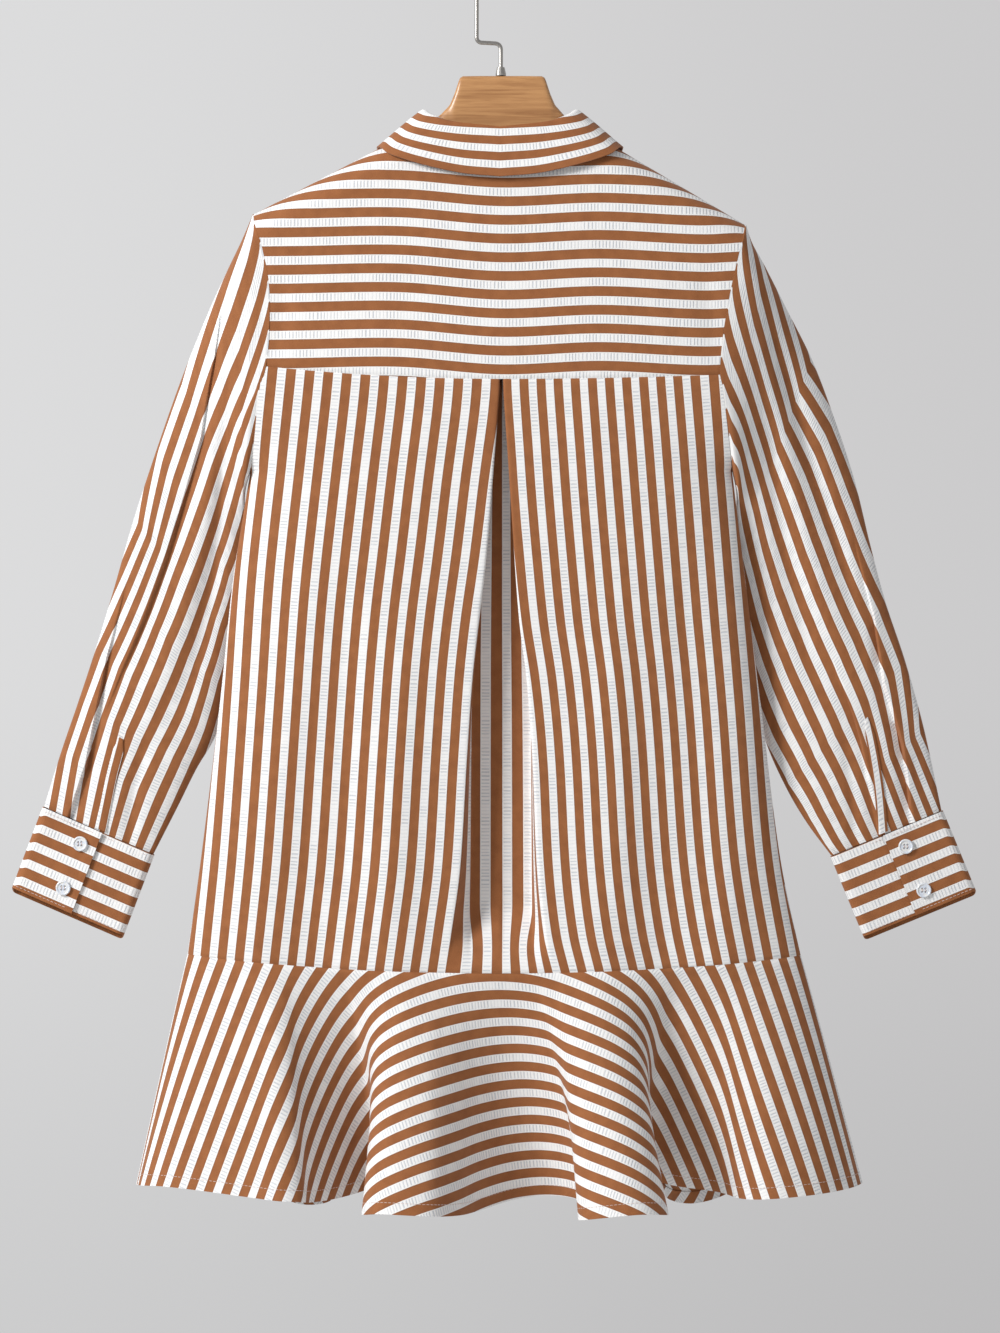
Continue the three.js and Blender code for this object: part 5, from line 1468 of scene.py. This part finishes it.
# Buttons with four holes, sewn on with two bars of thread
buttons = {
    "radius": 6.3,
    "rim": table(
        "radius height",
        (5.5, 0), (6.1, 0.25), (6.3, 1.1), (6.22, 1.9), (5.9, 2.42), (5.4, 2.6), (4.9, 2.45),
        (4.5, 2.02),
    ),
    "dish": 1.88,
    "holeAt": 1.35,
    "holeRadius": 0.82,
    "holeDepth": 1.3,
    "frontHeights": (-262, -346, -430, -514, -598, -682, -766),
    "standHeight": -201,
    "shell": (0.66, 0.71, 0.8),
    "shellWarm": (0.8, 0.79, 0.76),
    "roughness": 0.2,
}
threads = {"color": (0.74, 0.6, 0.56), "length": 2.6, "gap": 0.9, "radius": 0.24, "hemUp": 9.4}


def makeButtonShell():
    material, tree, shader = newMaterial("button_shell")
    place = addNode(tree, "TexCoord").outputs["Object"]
    cloud = noise(tree, place, 190.0, 2.0, 1.5)
    clouded = spread(tree, cloud, 0.38, 0.66)
    color = mixColor(tree, clouded, rgba(buttons["shell"]), rgba(buttons["shellWarm"]))
    tree.links.new(color, shader.inputs["Base Color"])
    shader.inputs["Roughness"].default_value = buttons["roughness"]
    shader.inputs["Coat Weight"].default_value = 0.4
    return material


def makeThread():
    material, tree, shader = newMaterial("sewing_thread")
    place = addNode(tree, "TexCoord").outputs["Object"]
    twist = noise(tree, place, 900.0)
    dark = tuple(0.8 * part for part in threads["color"])
    tree.links.new(mixColor(tree, twist, rgba(dark), rgba(threads["color"])), shader.inputs["Base Color"])
    shader.inputs["Roughness"].default_value = 0.6
    return material


buttonShell = makeButtonShell()
threadMaterial = makeThread()


# Turns a form that stands on the X-Y plane so that it stands out along a direction of the Y axis
def standOut(points, place, outward):
    turned = np.stack([points[..., 0] * outward, points[..., 2] * outward, points[..., 1]], -1)
    return turned + np.asarray(place, float)


def makeButton(name, place, outward):
    angle = np.linspace(0, 2 * math.pi, 57)[:-1]
    rings = []
    for radius, height in zip(buttons["rim"]["radius"], buttons["rim"]["height"]):
        rings.append(np.stack([radius * np.cos(angle), radius * np.sin(angle), height + 0 * angle], -1))
    for radius in np.linspace(4.1, 0.25, 19):
        x, y = radius * np.cos(angle), radius * np.sin(angle)
        off = np.hypot(np.abs(x) - buttons["holeAt"], np.abs(y) - buttons["holeAt"])
        pit = smooth((buttons["holeRadius"] + 0.12 - off) / 0.3) * buttons["holeDepth"]
        rings.append(np.stack([x, y, buttons["dish"] - pit], -1))
    piece = closedRings(f"{name}_shaped", standOut(np.array(rings), place, outward), buttonShell, 50)
    wear(piece, "button_shell", name)
    # the two bars of thread from hole to hole
    bars = []
    holeAt, dish = buttons["holeAt"], buttons["dish"]
    for x in (-holeAt, holeAt):
        low, high = dish - 0.7, dish + 0.12
        bar = np.array([[x, -holeAt, low], [x, -0.7, high], [x, 0.7, high], [x, holeAt, low]])
        bars.append(standOut(bar, place, outward))
    return bars


# One mesh of short threads, each a line of points
def sewThreads(name, lines, radius):
    angle = np.linspace(0, 2 * math.pi, 6)[:-1]
    points, faces = [], []
    for line in lines:
        line = np.asarray(line, float)
        way = np.gradient(line, axis=0)
        way /= np.linalg.norm(way, axis=1, keepdims=True)
        side = np.cross(way, [0.31, 0.9, 0.3])
        side /= np.linalg.norm(side, axis=1, keepdims=True)
        other = np.cross(way, side)
        foot = len(points)
        for i in range(len(line)):
            thin = radius * (0.45 if i in (0, len(line) - 1) else 1)
            ring = np.cos(angle)[:, None] * side[i] + np.sin(angle)[:, None] * other[i]
            points += (line[i] + thin * ring).tolist()
        for i in range(len(line) - 1):
            for k in range(5):
                a, b = foot + 5 * i + k, foot + 5 * i + (k + 1) % 5
                faces.append((a, b, b + 5, a + 5))
        top = foot + 5 * (len(line) - 1)
        faces.append(tuple(foot + k for k in reversed(range(5))))
        faces.append(tuple(top + k for k in range(5)))
    mesh = bpy.data.meshes.new(name)
    mesh.from_pydata((np.array(points) * mm).tolist(), [], faces)
    mesh.set_sharp_from_angle(angle=math.radians(80))
    mesh.materials.append(threadMaterial)
    piece = bpy.data.objects.new(name, mesh)
    bpy.context.collection.objects.link(piece)
    wear(piece, "striped_cloth")


# Stitches along a line of points that lies on the cloth's face
def stitchLine(line):
    lengths = runLength(line)
    pitch = threads["length"] + threads["gap"]
    stitches = []
    for start in np.arange(1.0, lengths[-1] - threads["length"], pitch):
        at = start + threads["length"] * np.array([0, 0.22, 0.78, 1])
        stitches.append(np.stack([np.interp(at, lengths, line[:, k]) for k in range(3)], -1))
    return stitches


def makeButtons():
    faceOut = 0.95  # from the cloth's middle to the button's foot
    bars = []
    for i, height in enumerate(buttons["frontHeights"]):
        place = bodyPointAtHeight(0.0, float(height), 1)
        place[1] += body["layerStep"] + faceOut + 0.25
        bars += makeButton(f"button_front_{i + 1}", place, 1)
    neck = standPoint(np.array(179.0), np.array(0.5))
    bars += makeButton("button_stand", (0, neck[1] + 1.1 + faceOut, buttons["standHeight"]), 1)
    along = cuffs["width"] * cuffs["lapShare"] - cuffs["buttonFromEdge"]
    for hand in ("left", "right"):
        for i, down in enumerate(cuffs["buttonsDown"]):
            place = cuffPoint(hand, along, -cuffs["half"] - 1 - faceOut, np.array(float(down)))
            bars += makeButton(f"button_cuff_{hand}_{i + 1}", place, -1)
    sewThreads("button_threads", bars, 0.34)


def makeStitching():
    lines = []
    # the hem, a finger's width above the edge
    for name, count, side in (("back", 760, -1), ("front", 520, 1)):
        stitched = 1 - threads["hemUp"] / flounce["depth"]
        share = np.array([stitched, stitched + 0.004])
        pair = flouncePoints(name, share, count)[0]
        way, down = np.gradient(pair[0], axis=0), pair[1] - pair[0]
        normal = np.cross(way, down)
        normal /= np.linalg.norm(normal, axis=1, keepdims=True)
        facing = side if normal[count // 2, 1] > 0 else -side
        lines.append(pair[0] + facing * normal * (cloth["wall"] / 2 + 0.08))
    # both edges of the front band
    for x in (-fronts["bandWidth"] / 2 + 2.5, fronts["bandWidth"] / 2 - 2.5):
        z = np.linspace(body["flounceSeam"] + 4, body["neckSideHeight"] - body["neckFrontDrop"] - 4, 240)
        line = bodyPointAtHeight(x + 0 * z, z, 1)
        swell = 0.35 * (1 - (2 * x / fronts["bandWidth"]) ** 4)
        line[:, 1] += body["layerStep"] + swell + cloth["wall"] / 2 + 0.1
        lines.append(line)
    # the cuffs' top and bottom edges, on the side that shows
    for hand in ("left", "right"):
        for down in (2.6, cuffs["depth"] - 2.6):
            for first, last, out in ((2, cuffs["width"] * cuffs["lapShare"] - 2, 1), (56, 98, -0.95)):
                x = np.linspace(first, last, 40)
                bulge = 0.5 * math.sin(math.pi * down / cuffs["depth"]) ** 0.5
                lift = -cuffs["half"] - out - bulge - cloth["wall"] / 2 - 0.45 * smooth(out)
                lines.append(cuffPoint(hand, x, lift, np.full(40, down)))
    stitches = [stitch for line in lines for stitch in stitchLine(line)]
    sewThreads("seam_stitches", stitches, threads["radius"])


# Hanger: shaped wood with its grain along the arms, a ferrule and a bent wire
hanger = {
    "wood": table(
        "x top bottom half",
        (0, -85, -150, 7), (20, -85, -151.5, 7), (33, -85.2, -153, 7), (35.4, -86.6, -153.5, 7),
        (36.6, -89.5, -154, 7), (38, -94, -154.5, 7), (40, -100, -155, 7), (44, -109.4, -157, 6.6),
        (51, -117, -160, 6.2), (62, -126, -164, 6),
    ),
    "arm": table(
        "x under bottom half",
        (80, 1.6, -168, 6), (120, 1.6, -190, 6), (160, 1.6, -211, 6), (188, 1.8, -224, 5.6),
    ),
    "tip": table(
        "x under bottom half",
        (191, 2.2, -223.8, 5.2), (193.6, 3.4, -223.3, 4.7), (195.4, 5.4, -222.4, 4),
    ),
    "middle": 2,
    "wire": 3.5,
    "radius": 19.5,
    "stem": 0.7,
    "foot": -84.7,
    "jog": -57,
    "tail": 3.2,
    "light": (0.53, 0.27, 0.105),
    "dark": (0.33, 0.145, 0.048),
    "metalDark": (0.4, 0.38, 0.355),
    "metalLight": (0.47, 0.45, 0.42),
}


def makeHangerWood():
    material, tree, shader = newMaterial("hanger_wood")
    place = addNode(tree, "TexCoord").outputs["Object"]
    long = addNode(tree, "Mapping", {"Vector": place, "Scale": (14, 120, 240)}).outputs[0]
    grain = noise(tree, long, 1.0, 4.0, 0.6)
    fine = addNode(tree, "Mapping", {"Vector": place, "Scale": (60, 500, 1100)}).outputs[0]
    pores = noise(tree, fine, 1.0, 2.0)
    share = plus(tree, spread(tree, grain, 0.34, 0.68, 0.0, 0.75), spread(tree, pores, 0.5, 0.7, 0.0, 0.25))
    color = mixColor(tree, share, rgba(hanger["light"]), rgba(hanger["dark"]))
    tree.links.new(color, shader.inputs["Base Color"])
    shader.inputs["Roughness"].default_value = 0.38
    shader.inputs["Coat Weight"].default_value = 0.3
    shader.inputs["Coat Roughness"].default_value = 0.25
    return material


def makeHookMetal():
    material, tree, shader = newMaterial("hook_metal")
    place = addNode(tree, "TexCoord").outputs["Object"]
    rubbed = noise(tree, place, 260.0, 2.0)
    color = mixColor(tree, rubbed, rgba(hanger["metalDark"]), rgba(hanger["metalLight"]))
    tree.links.new(color, shader.inputs["Base Color"])
    shader.inputs["Metallic"].default_value = 1.0
    shader.inputs["Roughness"].default_value = 0.34
    return material


def makeHanger():
    wood = hanger["wood"]
    steps = np.concatenate(
        [
            np.linspace(0, 33, 8),
            np.linspace(34, 62, 24)[:-1],
            np.linspace(62, 80, 8)[:-1],
            np.linspace(80, 188, 30),
            hanger["tip"]["x"],
        ]
    )
    armX = np.concatenate([hanger["arm"]["x"], hanger["tip"]["x"]])
    names = ("under", "bottom", "half")
    arm = {name: np.concatenate([hanger["arm"][name], hanger["tip"][name]]) for name in names}
    angle = 2 * math.pi * np.arange(44) / 44 + math.pi / 2
    across = np.sign(np.cos(angle)) * np.sqrt(np.abs(np.cos(angle)))
    upward = np.sign(np.sin(angle)) * np.sqrt(np.abs(np.sin(angle)))
    rings = []
    for x, sign in [(x, -1) for x in steps[:0:-1]] + [(x, 1) for x in steps]:
        at = sign * x + hanger["middle"] * (1 - float(smooth((x - 44) / 30)))
        if x < 62:
            names = ("top", "bottom", "half")
            top, bottom, half = (float(np.interp(x, wood["x"], wood[name])) for name in names)
        else:
            under = float(np.interp(x, armX, arm["under"]))
            top = float(shoulderLine(at)) - under
            if x < 80:
                top = mix(-126, float(shoulderLine(sign * 80.0)) - 1.6, (x - 62) / 18)
            bottom = float(np.interp(x, [62, *armX], [-164, *arm["bottom"]]))
            half = float(np.interp(x, armX, arm["half"]))
        height = (top + bottom) / 2 + (top - bottom) / 2 * upward
        rings.append(np.stack([at + 0 * angle, half * across, height], -1))
    piece = closedRings("hanger_wood_shaped", rings, makeHangerWood(), 50)
    wear(piece, "hanger_wood", "hanger_wood")


# The hook's wire: up the stem, to the side in a step, and over the rail in a half circle
def makeHook(metal):
    stem, jog, radius = hanger["stem"], hanger["jog"], hanger["radius"]
    turn = -radius + hanger["wire"] / 2
    t = np.linspace(0, 1, 13)[:, None]

    def bend(start, middle, end):
        return (1 - t) ** 2 * np.array(start) + 2 * t * (1 - t) * np.array(middle) + t**2 * np.array(end)

    half = np.linspace(math.pi, 0, 49)
    path = np.concatenate(
        [
            [[stem, hanger["foot"]], [stem, -75], [stem, -68]],
            bend((stem, jog - 6), (stem, jog - 1), (stem - 5, jog - 0.6)),
            bend((-radius + 5, jog), (-radius, jog), (-radius, jog + 5)),
            [[-radius, -40], [-radius, -28]],
            np.stack([radius * np.cos(half), turn + radius * np.sin(half)], -1),
            [[radius, turn - hanger["tail"] * 0.5], [radius, turn - hanger["tail"]]],
        ]
    )
    way = np.gradient(path, axis=0)
    way /= np.linalg.norm(way, axis=1, keepdims=True)
    angle = 2 * math.pi * np.arange(20) / 20
    rings = []
    for place, along in zip(path, way):
        side = np.array([along[1], 0, -along[0]])
        centre = np.array([place[0], 0, place[1]])
        ring = np.cos(angle)[:, None] * side + np.sin(angle)[:, None] * np.array([0, 1, 0])
        rings.append(centre + hanger["wire"] / 2 * ring)
    wire = closedRings("hook_wire", rings, metal, 50)
    wear(wire, "hook_metal", "hanger_hook")


makeButtons()
print("buttons sewn on")
makeStitching()
print("seams stitched")
makeHanger()
hookMetal = makeHookMetal()
makeHook(hookMetal)
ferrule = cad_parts["hanger_ferrule"]
ferrule.data.materials.clear()
ferrule.data.materials.append(hookMetal)
print("hanger shaped")


# Floor, light and world
studio = {
    "floorBelowHem": 600,
    "floorRadius": 2.2,
    # painted light and shadow of the wall that the world shows
    "wallLitLeft": (0.72, 0.72, 0.725),
    "wallShadedRight": (0.6, 0.595, 0.6),
    "room": (0.4, 0.4, 0.405),
    "floor": (0.7, 0.7, 0.69),
    "key": {"place": (-2.5, -1.9, 1.0), "size": 1.0, "power": 126},
    "fill": {"place": (2.2, -2.6, -0.4), "size": 2.4, "power": 5},
}


def addLight(name):
    light = bpy.data.lights.new(name, "AREA")
    light.size = studio[name]["size"]
    light.energy = studio[name]["power"]
    lamp = bpy.data.objects.new(name, light)
    lamp.location = studio[name]["place"]
    target = Vector((0, 0, cameraPlace["height"] * mm))
    lamp.rotation_euler = (target - lamp.location).to_track_quat("-Z", "Y").to_euler()
    bpy.context.collection.objects.link(lamp)


def makeStudio():
    floor = bpy.data.meshes.new("studio_floor")
    bm = bmesh.new()
    bmesh.ops.create_circle(bm, cap_ends=True, radius=studio["floorRadius"], segments=96)
    bm.to_mesh(floor)
    bm.free()
    plane = bpy.data.objects.new("studio_floor", floor)
    plane.location.z = cadBox[0].z - studio["floorBelowHem"] * mm
    bpy.context.collection.objects.link(plane)
    material, tree, shader = newMaterial("pale_floor")
    shader.inputs["Base Color"].default_value = rgba(studio["floor"])
    shader.inputs["Roughness"].default_value = 0.9
    floor.materials.append(material)
    world = bpy.data.worlds.new("studio")
    world.use_nodes = True
    # the wall behind the dress has painted light and shadow, lighter on the left and darker on the right,
    # and it is darker towards the bottom; the room in front of it is darker
    tree = world.node_tree
    parts = addNode(tree, "SeparateXYZ", {0: addNode(tree, "TexCoord").outputs["Generated"]})
    side = spread(tree, parts.outputs[0], -0.16, 0.16)
    behind = spread(tree, parts.outputs[1], -0.2, 0.6)
    low = spread(tree, parts.outputs[2], -0.2, 0.02, 0.84, 1.0)
    wall = mixColor(tree, side, rgba(studio["wallLitLeft"]), rgba(studio["wallShadedRight"]))
    tree.links.new(mixColor(tree, behind, rgba(studio["room"]), wall), tree.nodes["Background"].inputs[0])
    tree.links.new(low, tree.nodes["Background"].inputs[1])
    bpy.context.scene.world = world
    addLight("key")
    addLight("fill")
    bpy.context.scene.view_settings.view_transform = "Standard"


makeStudio()
print("studio lit")
